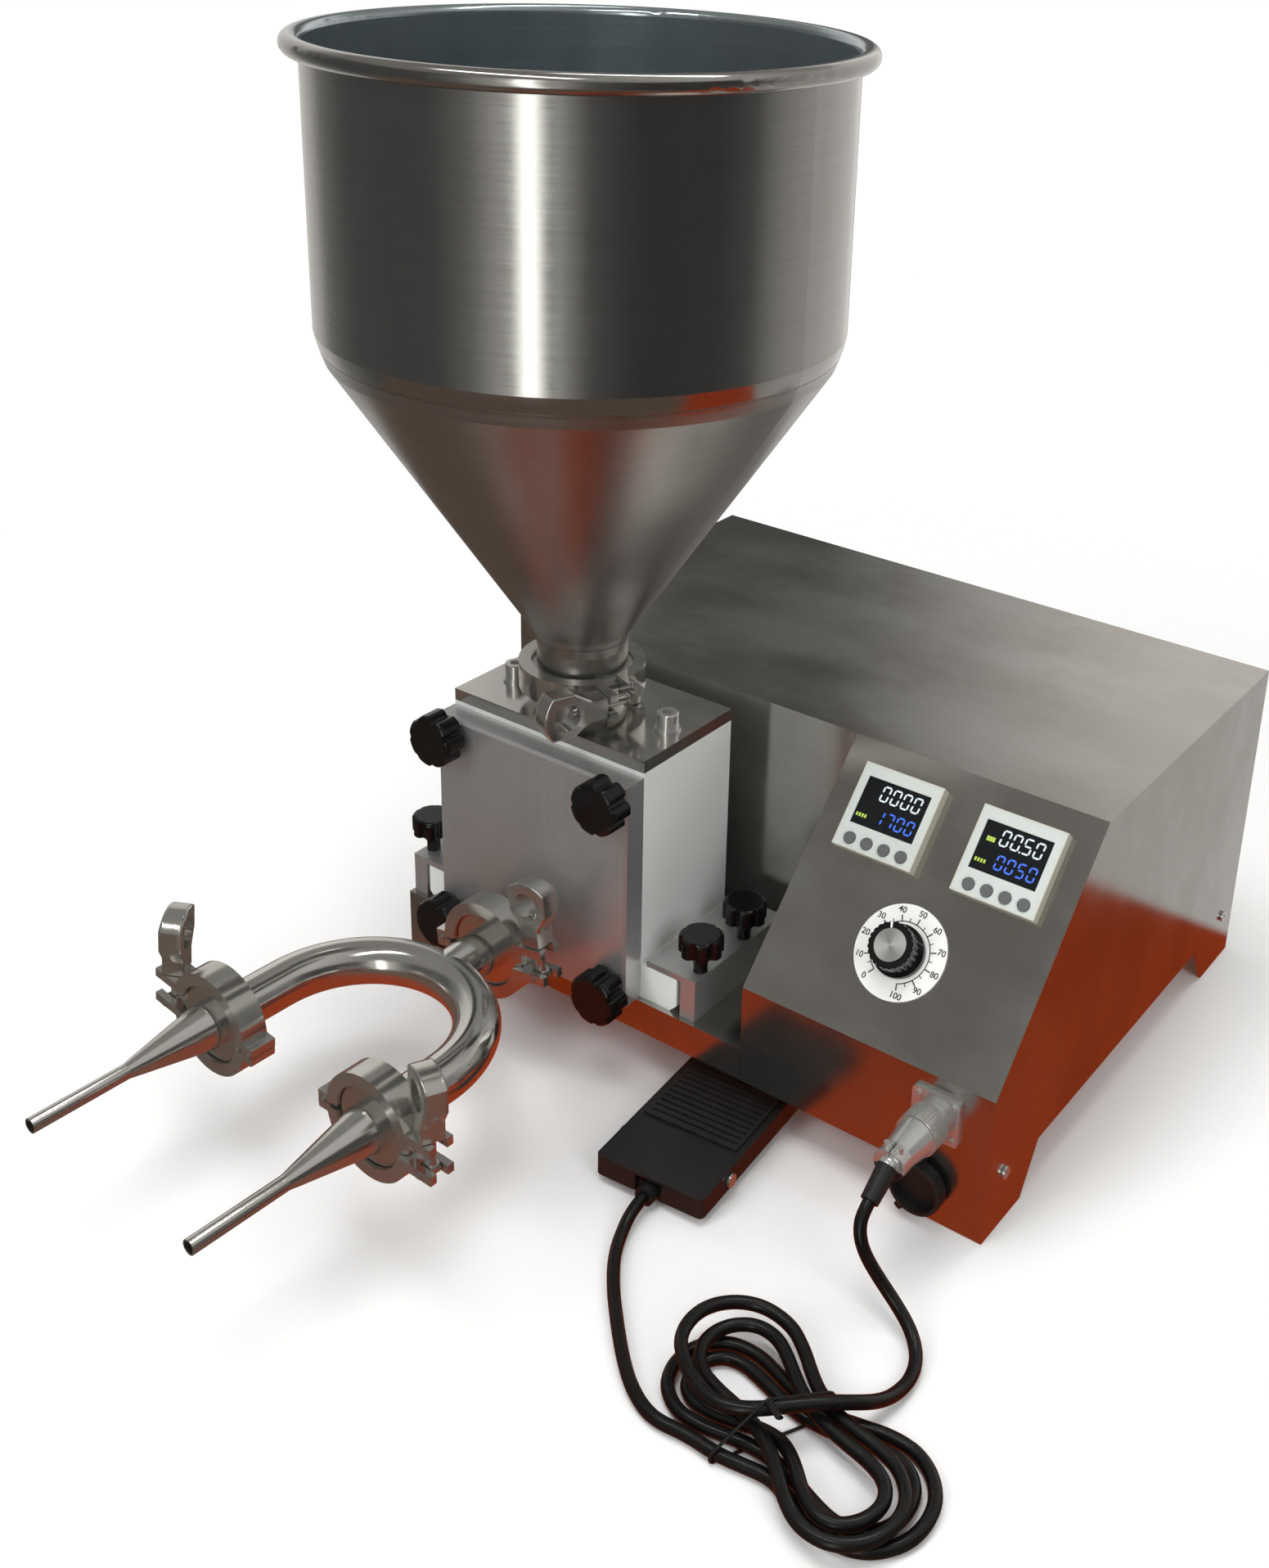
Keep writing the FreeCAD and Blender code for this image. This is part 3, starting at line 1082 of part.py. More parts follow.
def make_pedal():
    """The pedal: base with feet and gland, treadle lid, ribbed pad, return spring and switch."""
    half = PEDAL_W / 2
    wall = PEDAL_WALL
    gap = 0.5
    inner = half - wall - gap
    front = wall + gap
    back = PEDAL_L - wall - gap
    foot = PEDAL_FOOT
    plate = box(-inner, inner, front, back, foot, foot + 2)
    sides = [sorted((s * inner, s * (inner - 2))) for s in (-1, 1)]
    walls = [box(*side, front, back, foot, 8.0) for side in sides]
    walls += [box(*side, PIVOT_DY - 6, PIVOT_DY + 6, foot, PIVOT_Z + 3) for side in sides]
    walls.append(box(-inner, inner, front, front + 2, foot, PEDAL_TOP - 6))
    feet = [rod((sx * (inner - 7), y, 0), (0, 0, 1), 6, foot) for sx in (-1, 1) for y in (front + 8,
                                                                                          back - 8)]
    gland = rod((0, -4, 7.5), (0, 1, 0), CORD_R + 2.2, front + 6)
    post = rod((0, back - 22, foot), (0, 0, 1), 3, 5)
    base = fuse([plate, post, gland] + walls + feet)
    base = base.cut(rod((0, -5, 7.5), (0, 1, 0), CORD_R, front + 12))
    pin = rod((-half - 0.8, PIVOT_DY, PIVOT_Z), (1, 0, 0), PIVOT_R, PEDAL_W + 1.6)
    heads = [rod((s * (half + 0.3), PIVOT_DY, PIVOT_Z), (s, 0, 0), 3.8, 1.6) for s in (-1, 1)]
    base = base.cut(rod((-half, PIVOT_DY, PIVOT_Z), (1, 0, 0), PIVOT_R - 0.01, PEDAL_W))
    base = fuse([base, pin] + heads)
    lid = box(-half, half, 0, PEDAL_L, PEDAL_SKIRT_Z, PEDAL_TOP)
    upright = [e for e in lid.Edges if abs(e.Length - (PEDAL_TOP - PEDAL_SKIRT_Z)) < 1e-6]
    lid = lid.makeFillet(3.0, upright)
    lid = lid.cut(box(-half + wall, half - wall, wall, PEDAL_L - wall, PEDAL_SKIRT_Z - 1, PEDAL_TOP - wall))
    lid = lid.cut(box(-8, 8, -1, wall + 1, PEDAL_SKIRT_Z - 1, 7.5 + CORD_R + 4.5))
    lid = lid.cut(rod((-half - 1, PIVOT_DY, PIVOT_Z), (1, 0, 0), PIVOT_R + RUNNING_GAP, PEDAL_W + 2))
    pad_w, pad_l, pad_t = PAD
    pad = box(-pad_w / 2, pad_w / 2, PAD_DY, PAD_DY + pad_l, PEDAL_TOP, PEDAL_TOP + pad_t)
    pitch = pad_l / PAD_RIBS
    for i in range(PAD_RIBS - 1):
        y = PAD_DY + (i + 1) * pitch
        pad = pad.cut(box(-pad_w / 2 + 2, pad_w / 2 - 2, y - 0.7, y + 0.7, PEDAL_TOP + 0.6,
                          PEDAL_TOP + pad_t + 1))
    spring = make_spring(back - 22)
    switch = box(-10, 10, back - 48, back - 38, foot + 2.1, foot + 7.5)
    return [pedal_place(piece) for piece in (base, lid, pad, spring, switch)]


def make_spring(y):
    """The treadle's coil spring, standing on the base plate around its post."""
    low = PEDAL_FOOT + 2.1 + SPRING_WIRE
    high = PEDAL_TOP - PEDAL_WALL - 0.1 - SPRING_WIRE
    helix = Part.makeHelix((high - low) / SPRING_TURNS, high - low, SPRING_R)
    circle = Part.Wire(Part.makeCircle(SPRING_WIRE, Vector(SPRING_R, 0, 0), Vector(0, 1, 0)))
    coil = Part.Wire(helix).makePipeShell([circle], True, True)
    coil.translate(Vector(0, y, low))
    return coil


# Pedal cord: control points of the two free stretches, in the machine frame
def pedal_run_points():
    """From the pedal's gland over the table, round the hank's left end, to its first turn."""
    points = [pedal_point(0, -4, 7.5), pedal_point(0, -14, 7.5), pedal_point(2.3, -27.9, CORD_R + 0.3)]
    points += [Vector(x, y, CORD_R) for x, y in ((-139, -121), (-127, -136.5), (-112.5, -151.5),
                                                 (-97.5, -166),
                                                 (-82, -178.5), (-65, -186), (-47.1, -183.2), (-29.9,
                                                                                               -183.8),
                                                 (-16.8, -181.3))]
    return points + hank_lead_in()


def plug_run_points():
    """From the boot's end down to the table, round and over the hank to its last turn."""
    _, end, droop = boot_line()
    points = [end, end + droop * 7]
    points += [Vector(-29.8, -72.8, 46), Vector(-26.8, -74.2, 38.6), Vector(-22.3, -73.2, 30)]
    points += [Vector(-15.6, -72, 21.2), Vector(-7, -72.1, 13.2), Vector(3.3, -75.6, 7),
               Vector(11.9, -84.2, 3.6)]
    points += [Vector(16.2, -96.5, CORD_R), Vector(15.9, -109.3, 4.6), Vector(14.2, -121.9, 9.7)]
    points += [Vector(9.9, -133.5, 16.2), Vector(0.6, -145, 20.4), Vector(-12.5, -157.8, 20.5)]
    points += [Vector(-23.9, -168.2, 20), Vector(-35, -173, 19.2)]
    return points + hank_lead_out()


def eased(value):
    """Zero to one with level ends."""
    value = min(1.0, max(0.0, value))
    return 3 * value ** 2 - 2 * value ** 3


def hank_point(turn):
    """Centre line of the hank: in along the lower layer, out along the upper, then up to cross over."""
    half = HANK_TURNS / 2
    t = 2 * math.pi * turn + HANK_START
    wide = HANK_HALF_W + HANK_END_WIDER * math.cos(t)
    u = HANK_HALF_L * math.cos(t)
    v = wide * math.sin(t) + HANK_PINCH * math.sin(3 * t)
    du = -HANK_HALF_L * math.sin(t)
    dv = wide * math.cos(t) - HANK_END_WIDER * math.sin(t) ** 2 + 3 * HANK_PINCH * math.cos(3 * t)
    step = HANK_STEP + HANK_END_STEP * math.cos(t) ** 2
    spread = step * abs(turn - half) / math.hypot(du, dv)
    u += spread * dv
    v -= spread * du
    change = eased((turn - half) * 6 + 0.5)
    layer = change + eased((turn - HANK_END + 0.3) / 0.28)
    z = CORD_R + 0.05 + HANK_LAYER * layer
    a = math.radians(HANK_TURN + HANK_FAN * change)
    x = HANK_CENTRE[0] + u * math.cos(a) - v * math.sin(a)
    y = HANK_CENTRE[1] + u * math.sin(a) + v * math.cos(a)
    return Vector(x, y, z)


def hank_tangent(turn):
    """Unit direction of the hank's centre line."""
    step = 1e-4
    return (hank_point(turn + step) - hank_point(turn - step)).normalize()


def hank_lead_in():
    """The last two control points before the hank, in line with its start."""
    start = hank_point(HANK_BEGIN)
    back = hank_tangent(HANK_BEGIN) * -1
    return [start + back * (HANK_LEAD + 11.8), start + back * HANK_LEAD]


def hank_lead_out():
    """The last two control points of the plug's stretch, in line with the hank's end."""
    end = hank_point(HANK_END)
    ahead = hank_tangent(HANK_END)
    return [end + ahead * (HANK_LEAD + 10), end + ahead * HANK_LEAD]


def biarc(p0, t0, p1, t1):
    """Two arcs that join two points with the given directions."""
    chord = p1 - p0
    both = t0 + t1
    a = 2 * (1 - t0.dot(t1))
    b = chord.dot(both)
    c = chord.dot(chord)
    if abs(a) < 1e-9:
        d = c / (2 * b)
    else:
        d = (-b + math.sqrt(b * b + a * c)) / a
    joint = (p0 + p1 + (t0 - t1) * d) * 0.5
    rest = p1 - joint
    way = rest * 2 - t1 * (rest.dot(rest) / rest.dot(t1))
    return [arc_from(p0, t0, joint), arc_from(joint, way, p1)]


def arc_from(start, direction, end):
    """An arc from a start point and direction to an end point."""
    t = Vector(direction).normalize()
    chord = end - start
    along = chord.dot(t)
    side = chord - t * along
    if side.Length < 1e-6 * chord.Length:
        return Part.LineSegment(start, end).toShape()
    n = Vector(side).normalize()
    radius = chord.dot(chord) / (2 * chord.dot(n))
    centre = start + n * radius
    to_middle = ((start - centre) + (end - centre)).normalize()
    return Part.Arc(start, centre + to_middle * radius, end).toShape()


def make_hank():
    """The hank as one unbroken tube over arcs, with a straight lead at each end."""
    knots = round((HANK_END - HANK_BEGIN) * HANK_KNOTS)
    turns = [HANK_BEGIN + (HANK_END - HANK_BEGIN) * i / knots for i in range(knots + 1)]
    points = [hank_point(t) for t in turns]
    tangents = [hank_tangent(t) for t in turns]
    lead = HANK_LEAD
    edges = [Part.LineSegment(points[0] - tangents[0] * lead, points[0]).toShape()]
    for i in range(knots):
        edges += biarc(points[i], tangents[i], points[i + 1], tangents[i + 1])
    edges.append(Part.LineSegment(points[-1], points[-1] + tangents[-1] * lead).toShape())
    path = Part.Wire(edges)
    start = points[0] - tangents[0] * lead
    circle = Part.Wire(Part.makeCircle(CORD_R, start, tangents[0]))
    tube = path.makePipeShell([circle], True, False)
    return tube, path


def least_gap(path):
    """The smallest clear distance between the turns of a wound cord, measured on points."""
    points = path.discretize(Distance=3.0)
    away = int(12 * CORD_R / 3.0)
    gap = min((points[i] - points[j]).Length for i in range(len(points)) for j in range(i + away,
                                                                                        len(points)))
    return gap - 2 * CORD_R


def make_cord(name, points):
    """A free stretch of cord: straight runs joined by tangent arcs as large as the runs allow."""
    edges = []
    radii = []
    last = points[0]
    for before, corner, after in zip(points, points[1:], points[2:]):
        run_in = corner - before
        run_out = after - corner
        turn = run_in.getAngle(run_out)
        run = min(run_in.Length, run_out.Length)
        radius = 0.45 * run / math.tan(turn / 2)
        reach = radius * math.tan(turn / 2)
        enter = corner - Vector(run_in).normalize() * reach
        leave = corner + Vector(run_out).normalize() * reach
        inward = ((before - corner).normalize() + (after - corner).normalize()).normalize()
        middle = corner + inward * (radius / math.cos(turn / 2) - radius)
        edges.append(Part.LineSegment(last, enter).toShape())
        edges.append(Part.Arc(enter, middle, leave).toShape())
        radii.append(round(radius, 1))
        last = leave
    edges.append(Part.LineSegment(last, points[-1]).toShape())
    path = Part.Wire(edges)
    circle = Part.Wire(Part.makeCircle(CORD_R, points[0], points[1] - points[0]))
    tube = path.makePipeShell([circle], True, False)
    share = tube.Volume / (math.pi * CORD_R ** 2 * path.Length)
    print(name, "length", round(path.Length, 1), "radii", radii, "volume over section times length",
          round(share, 4))
    return tube, path.Length


def make_inside():
    """The gear motor on its foot, the coupling and the speed controller board."""
    x = drive_x()
    floor = ARCH_Z + SHEET
    half = GEARBOX / 2
    gearbox = box(x - half, x + half, GEARBOX_Y, GEARBOX_Y + GEARBOX_L, GEAR_Z - half, GEAR_Z + half)
    motor = rod((x, GEARBOX_Y + GEARBOX_L, GEAR_Z), (0, 1, 0), MOTOR_R, MOTOR_L)
    foot = box(x - 30, x + 30, GEARBOX_Y, GEARBOX_Y + GEARBOX_L, floor, GEAR_Z - half + 1)
    motor_shaft = rod((x, SHAFT_END_Y + 1, GEAR_Z), (0, 1, 0), MOTOR_SHAFT_R, GEARBOX_Y - SHAFT_END_Y + 9)
    motor_bore = rod((x, GEARBOX_Y - 1, GEAR_Z), (0, 1, 0), MOTOR_SHAFT_R + RUNNING_GAP, 12)
    gear_motor = fuse([gearbox, motor, foot]).cut(motor_bore)
    hub = rod((x, COUPLING_Y, GEAR_Z), (0, 1, 0), COUPLING_R, COUPLING_L)
    hub = hub.cut(rod((x, COUPLING_Y - 1, GEAR_Z), (0, 1, 0), SHAFT_R + 0.02, SHAFT_END_Y + 1 - COUPLING_Y))
    hub = hub.cut(rod((x, SHAFT_END_Y - 1, GEAR_Z), (0, 1, 0), MOTOR_SHAFT_R + 0.02, COUPLING_L))
    board_w, board_d, board_t = BOARD
    bx = x + half + BOARD_GAP
    by = FRONT_WALL_Y + 60.0
    posts = [rod((bx + dx, by + dy, floor), (0, 0, 1), 3, 8) for dx in (6, board_w - 6) for dy in (6,
                                                                                                   board_d - 6)]
    board = box(bx, bx + board_w, by, by + board_d, floor + 8, floor + 8 + board_t)
    chips = [box(bx + 14, bx + 44, by + 20, by + 60, floor + 9, floor + 34),
             rod((bx + 66, by + 40, floor + 9), (0, 0, 1), 11, 30),
             box(bx + 20, bx + 70, by + 80, by + 104, floor + 9, floor + 22)]
    return gear_motor, [hub, motor_shaft], fuse([board] + posts + chips)


def make_bearing():
    """The bearing housing between the block and the cabinet wall, the bearing and the shaft seal."""
    x = drive_x()
    y0 = PUMP_Y + PUMP_D
    y1 = FRONT_WALL_Y
    housing = pipe((x, y0, GEAR_Z), (0, 1, 0), HOUSING_R, BEARING_R, y1 - y0)
    bearing = pipe((x, y1 - 11, GEAR_Z), (0, 1, 0), BEARING_R - 0.02, SHAFT_R + RUNNING_GAP, 10)
    seal = pipe((x, y0 + 1, GEAR_Z), (0, 1, 0), BEARING_R - 0.02, SHAFT_R + RUNNING_GAP, 6)
    return housing, bearing, seal


def make_rear_fittings():
    """The mains inlet and the rocker of the power switch in its frame."""
    x, z, w, h = INLET_CUT
    y0 = CABINET_D + SHEET
    rim = box(x - w / 2 - INLET_RIM, x + w / 2 + INLET_RIM, y0, y0 + INLET_RIM_T, z - h / 2 - INLET_RIM,
              z + h / 2 + INLET_RIM)
    body = box(x - w / 2 + 0.2, x + w / 2 - 0.2, y0 - INLET_DEPTH, y0 + 1, z - h / 2 + 0.2, z + h / 2 - 0.2)
    inlet = fuse([rim, body]).cut(box(x - w / 2 + 3, x + w / 2 - 3, y0 - 14, y0 + 5, z - h / 2 + 3,
                                      z + h / 2 - 3))
    places = ((-7, -2), (0, 3), (7, -2))
    pins = [box(x + dx - 1, x + dx + 1, y0 - 15, y0 - 7, z + dz - 2.5, z + dz + 2.5) for dx, dz in places]
    inlet = inlet.fuse(pins)
    sx, sz, sw, sh = SWITCH_CUT
    frame = box(sx - sw / 2 - 2, sx + sw / 2 + 2, y0, y0 + 1.6, sz - sh / 2 - 2, sz + sh / 2 + 2)
    case = box(sx - sw / 2 + 0.2, sx + sw / 2 - 0.2, y0 - 18, y0 + 1, sz - sh / 2 + 0.2, sz + sh / 2 - 0.2)
    recess = box(sx - sw / 2 + 1.6, sx + sw / 2 - 1.6, y0 - 8, y0 + 4, sz - sh / 2 + 1.6, sz + sh / 2 - 1.6)
    pivot_y = y0 - 1
    frame = fuse([frame, case]).cut(recess)
    frame = frame.cut(rod((sx, pivot_y, sz - sh / 2 + 0.6), (0, 0, 1), ROCKER_PIN_R + RUNNING_GAP,
                          sh - 1.2))
    reach = sw / 2 - 3.2
    high = reach * math.tan(math.radians(SWITCH_TILT_DEG / 2))
    depth = sh / 2 - 2.2
    rocker = prism([(sx - reach, y0 - 3, sz - depth), (sx + reach, y0 - 3, sz - depth),
                    (sx + reach, y0 + 2.2 - high, sz - depth), (sx, y0 + 1.2, sz - depth),
                    (sx - reach, y0 + 2.2 + high, sz - depth)], (0, 0, 2 * depth))
    rocker = rocker.fuse(rod((sx, pivot_y, sz - sh / 2 + 0.8), (0, 0, 1), ROCKER_PIN_R,
                             sh - 1.6)).removeSplitter()
    return inlet, frame, rocker


def outline_centre():
    """Middle of the machine's outline, without the cord and its plug, in X and Y."""
    left = PORT_X - RIM_R - BEAD_R
    right = SCREW_HEAD_H
    tips = [on_bend(PORT_X + side * BEND_R, NOZZLE_TIP_Y)[1] for side in (-1, 1)]
    front = min(tips) - NOZZLE_R * abs(math.sin(math.radians(BEND_YAW)))
    back = CABINET_D + SHEET + INLET_RIM_T
    return (left + right) / 2, (front + back) / 2


def build():
    """Make every node in the machine frame."""
    add("housing", make_housing())
    add("base_tray", make_base_tray())
    add("rear_panel", make_rear_panel())
    screws = [pan_screw(place, axis) for place, axis in screw_places()]
    screws += [cap_screw(x, y) for x, y in CAP_SCREW_XY]
    add("fixing_screws", *screws)
    add("pump_body", make_pump_body())
    add("pump_front_plate", make_front_plate())
    add("pump_top_plate", make_top_plate())
    add("outlet_ferrule", make_outlet_ferrule())
    tooth = math.pi / TEETH
    add("drive_gear", make_gear(drive_x(), math.pi, SHAFT_END_Y))
    add("idler_gear", make_gear(idler_x(), tooth, idler_end()))
    add("shaft_bearing", *make_bearing())
    gear_motor, coupling, board = make_inside()
    add("gear_motor", gear_motor)
    add("shaft_coupling", *coupling)
    add("control_board", board)
    add("hopper", make_hopper())
    add("u_manifold", make_manifold())
    add("nozzles", make_nozzle(PORT_X - BEND_R), make_nozzle(PORT_X + BEND_R))
    add("clamp_gaskets", *[make_gasket(rim, place, axis) for _, rim, place, axis, _, _ in CLAMPS.values()])
    small = []
    for name, clamp in CLAMPS.items():
        pieces = make_clamp(*clamp[:5])
        outer, _, place, axis, ear, bow_way = clamp
        add(name + "_wing_nut", make_wing_nut(outer, place, axis, ear, bow_way))
        if name == "hopper":
            add("hopper_clamp", *pieces)
        else:
            small += pieces
    add("nozzle_clamps", *small)
    add("side_clamp_bars", make_clamp_bar(-1), make_clamp_bar(1))
    plate_y = PUMP_Y - FRONT_PLATE_T
    knob = star_knob(FRONT_KNOB_R, FRONT_KNOB_H, STUD_DEPTH)
    for i, (x, z) in enumerate(knob_places(), 1):
        add("front_knob_%d" % i, aim(knob, (x, plate_y - SHEET_GAP, z), (0, -1, 0), (1, 0, 0)))
    bar_top = DECK_Z + FLANGE_H + SHEET_GAP + BAR_LIP_T
    knob = star_knob(BAR_KNOB_R, BAR_KNOB_H, bar_top - DECK_Z + BAR_KNOB_LIFT + 6)
    for i, (x, y) in enumerate(bar_knob_places(), 1):
        add("bar_knob_%d" % i, aim(knob, (x, y, bar_top + BAR_KNOB_LIFT), (0, 0, 1), (1, 0, 0)))
    for side, u in zip(("left", "right"), TIMER_U):
        add(side + "_timer", *make_timer(u))
        for i, bu in enumerate(BUTTON_U, 1):
            add("%s_timer_button_%d" % (side, i), make_button(u, bu))
    plate = panel_rod(DIAL_U, DIAL_V, DIAL_R, 0, DIAL_T)
    add("dial_plate", plate.cut(panel_rod(DIAL_U, DIAL_V, POT_SHAFT_R + 0.5, -1, DIAL_T + 1)))
    add("dial_knob", make_dial_knob())
    add("potentiometer", make_potentiometer())
    add("panel_socket", make_socket())
    add("coupling_ring", make_coupling_ring())
    add("cord_plug", *make_plug())
    add("dust_cap", make_dust_cap())
    inlet, frame, rocker = make_rear_fittings()
    add("power_inlet", inlet, frame)
    add("power_switch", rocker)
    base, lid, pad, spring, switch = make_pedal()
    add("pedal_base", base)
    add("pedal_treadle", lid)
    add("treadle_pad", pad)
    add("pedal_spring", spring)
    add("pedal_switch", switch)
    tube, path = make_hank()
    print("hank length", round(path.Length, 1), "least gap to itself", round(least_gap(path), 2))
    add("cord_hank", tube)
    run, first = make_cord("cord_pedal_run", pedal_run_points())
    add("cord_pedal_run", run)
    run, second = make_cord("cord_plug_run", plug_run_points())
    add("cord_plug_run", run)
    print("cord length", round(first + second + path.Length, 1))


def export():
    """Move every node to the origin under the machine's middle and write it."""
    os.makedirs("parts", exist_ok=True)
    x, y = outline_centre()
    for name, shape in PARTS.items():
        out = shape.copy()
        out.translate(Vector(-x, -y, 0))
        out.exportStep("parts/%s.step" % name)
        if not out.isValid():
            print("not valid:", name)
    print("nodes", len(PARTS), "centre", round(x, 3), round(y, 3))


build()
export()
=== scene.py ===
"""Looks of the cake filling machine: a hopper on a gear pump, two nozzles, a console and a foot pedal."""
import bpy
import bmesh
import math
from mathutils import Matrix, Vector, geometry


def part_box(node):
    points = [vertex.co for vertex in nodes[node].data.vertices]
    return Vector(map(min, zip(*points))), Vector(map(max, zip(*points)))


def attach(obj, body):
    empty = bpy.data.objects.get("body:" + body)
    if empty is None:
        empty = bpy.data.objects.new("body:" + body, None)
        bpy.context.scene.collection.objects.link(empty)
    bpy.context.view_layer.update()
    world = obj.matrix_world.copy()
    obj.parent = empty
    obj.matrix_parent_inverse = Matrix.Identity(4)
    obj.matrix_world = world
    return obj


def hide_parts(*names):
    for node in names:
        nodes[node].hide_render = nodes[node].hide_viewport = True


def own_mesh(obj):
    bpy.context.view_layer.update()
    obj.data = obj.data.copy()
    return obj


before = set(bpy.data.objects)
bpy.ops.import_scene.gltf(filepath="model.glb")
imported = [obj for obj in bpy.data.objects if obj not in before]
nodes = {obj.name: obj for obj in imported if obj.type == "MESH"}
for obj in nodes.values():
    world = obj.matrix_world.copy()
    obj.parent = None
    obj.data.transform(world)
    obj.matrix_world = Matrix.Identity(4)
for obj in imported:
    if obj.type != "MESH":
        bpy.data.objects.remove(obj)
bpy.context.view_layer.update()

# The photograph's camera. The picture is a crop, so the lens's axis lies off its middle and the camera is
# shifted. Sizes are in the cabinet's own millimetres: X from its right side, Y from its front, Z from the
# table.
cabinet_low, cabinet_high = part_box("housing")


def at(x, y, z):
    """A point of the cabinet's own millimetres as a place in the model, in metres."""
    return Vector((cabinet_high.x + x / 1000, cabinet_low.y + y / 1000, z / 1000))


camera_place = (296.5, -664.6, 663.9)
camera_azimuth = math.radians(34.513)
camera_tilt = math.radians(21.799)
camera_roll = math.radians(2.218)
focal_pixels = 2212.5
picture_wide = 1551
picture_high = 1916
axis_pixel = (910.8, 657.7)

forward = Vector((-math.sin(camera_azimuth) * math.cos(camera_tilt),
                  math.cos(camera_azimuth) * math.cos(camera_tilt), -math.sin(camera_tilt)))
level = Vector((math.cos(camera_azimuth), math.sin(camera_azimuth), 0))
upward = level.cross(forward)
across = level * math.cos(camera_roll) + upward * math.sin(camera_roll)
upright = upward * math.cos(camera_roll) - level * math.sin(camera_roll)
lens = bpy.data.cameras.new("photo_camera")
lens.sensor_width = 36
lens.lens = focal_pixels * lens.sensor_width / picture_high
lens.shift_x = (picture_wide / 2 - axis_pixel[0]) / picture_high
lens.shift_y = (axis_pixel[1] - picture_high / 2) / picture_high
camera = bpy.data.objects.new("photo_camera", lens)
bpy.context.scene.collection.objects.link(camera)
turn = Matrix((across, upright, -forward)).transposed().to_4x4()
camera.matrix_world = Matrix.Translation(at(*camera_place)) @ turn
bpy.context.scene.camera = camera
bpy.context.scene.view_settings.view_transform = "Standard"

# Light and floor. Soft boxes stand round the machine as in a small studio, and bright metal shows only the
# two long tube lights among them. The floor is a plain pale sheet that keeps the machine's shadow.


class Shade:
    """One shader socket in an expression: arithmetic on it adds Math nodes to its tree."""

    def __init__(self, tree, socket=None):
        self.tree = tree
        self.socket = socket

    def node(self, kind, settings=(), inputs=(), out=0):
        """Any node: its settings first, then values or links for its sockets."""
        made = self.tree.nodes.new(kind)
        for name, value in dict(settings).items():
            if name == "stops":
                ramp = made.color_ramp.elements
                while len(ramp) < len(value):
                    ramp.new(0.5)
                for stop, (place, colour) in zip(ramp, value):
                    stop.position = place
                    stop.color = (*colour, 1)
            else:
                setattr(made, name, value)
        for name, value in dict(inputs).items():
            self.feed(made.inputs[name], value)
        return Shade(self.tree, made.outputs[out])

    def feed(self, socket, value):
        """Give a socket a value or a link."""
        if isinstance(value, Shade):
            self.tree.links.new(value.socket, socket)
        else:
            socket.default_value = value

    def math(self, operation, first, second):
        """A Math node on two numbers or sockets."""
        return self.node("ShaderNodeMath", {"operation": operation}, {0: first, 1: second})

    def __add__(self, other):
        return self.math("ADD", self, other)

    def __radd__(self, other):
        return self.math("ADD", other, self)

    def __sub__(self, other):
        return self.math("SUBTRACT", self, other)

    def __rsub__(self, other):
        return self.math("SUBTRACT", other, self)

    def __mul__(self, other):
        return self.math("MULTIPLY", self, other)

    def __rmul__(self, other):
        return self.math("MULTIPLY", other, self)

    def __truediv__(self, other):
        return self.math("DIVIDE", self, other)

    def __pow__(self, other):
        return self.math("POWER", self, other)

    def __abs__(self):
        return self.node("ShaderNodeMath", {"operation": "ABSOLUTE"}, {0: self})


def start_material(name, colour, roughness, metallic=0.0, **sockets):
    """A Principled material with plain values, to be varied after; gives it, its tree and its shader."""
    made = bpy.data.materials.new(name)
    made.use_nodes = True
    surface = made.node_tree.nodes["Principled BSDF"]
    surface.inputs["Base Color"].default_value = (*colour, 1)
    surface.inputs["Roughness"].default_value = roughness
    surface.inputs["Metallic"].default_value = metallic
    for socket, value in sockets.items():
        surface.inputs[socket.replace("_", " ")].default_value = value
    return made, Shade(made.node_tree), surface


def place_in(tree, scale=(1, 1, 1)):
    """Object coordinates, stretched."""
    coordinates = tree.node("ShaderNodeTexCoord", out=3)
    return tree.node("ShaderNodeMapping", {}, {"Vector": coordinates, "Scale": scale})


def seat_at(tree, place):
    """Object coordinates counted from a place."""
    coordinates = tree.node("ShaderNodeTexCoord", out=3)
    return tree.node("ShaderNodeMapping", {}, {"Vector": coordinates, "Location": -place})


def along(tree, vector, way):
    """How far a vector reaches along a direction."""
    return tree.node("ShaderNodeVectorMath", {"operation": "DOT_PRODUCT"}, {0: vector, 1: way}, out=1)


def parts_of(tree, vector):
    """The three numbers of a vector."""
    split = tree.node("ShaderNodeSeparateXYZ", {}, {0: vector}).socket.node
    return [Shade(tree.tree, socket) for socket in split.outputs]


def noise(tree, vector, size, detail=3.0, roughness=0.55):
    """Noise from 0 to 1, its cells about 1 / size metres."""
    return tree.node("ShaderNodeTexNoise", {}, {"Vector": vector, "Scale": size, "Detail": detail,
                                                "Roughness": roughness})


def mixed(tree, factor, first, second):
    """A blend of two colours."""
    made = tree.tree.nodes.new("ShaderNodeMix")
    made.data_type = "RGBA"
    tree.feed(made.inputs[0], factor)
    for socket, value in ((made.inputs[6], first), (made.inputs[7], second)):
        tree.feed(socket, value if isinstance(value, Shade) else (*value, 1))
    return Shade(tree.tree, made.outputs[2])


def bumped(tree, surface, height, distance, strength=1.0):
    """Feed a height to the surface's normal, with its relief in millimetres."""
    relief = tree.node("ShaderNodeBump", {}, {"Height": height, "Distance": distance / 1000,
                                              "Strength": strength})
    tree.feed(surface.inputs["Normal"], relief)


def plain_look(name, colour, metallic, size, least, more, detail=3.0):
    """A finish of one colour whose roughness goes from least upward by more; gives the material."""
    made, tree, surface = start_material(name, colour, least + more / 2, metallic)
    tree.feed(surface.inputs["Roughness"], noise(tree, place_in(tree), size, detail) * more + least)
    return made


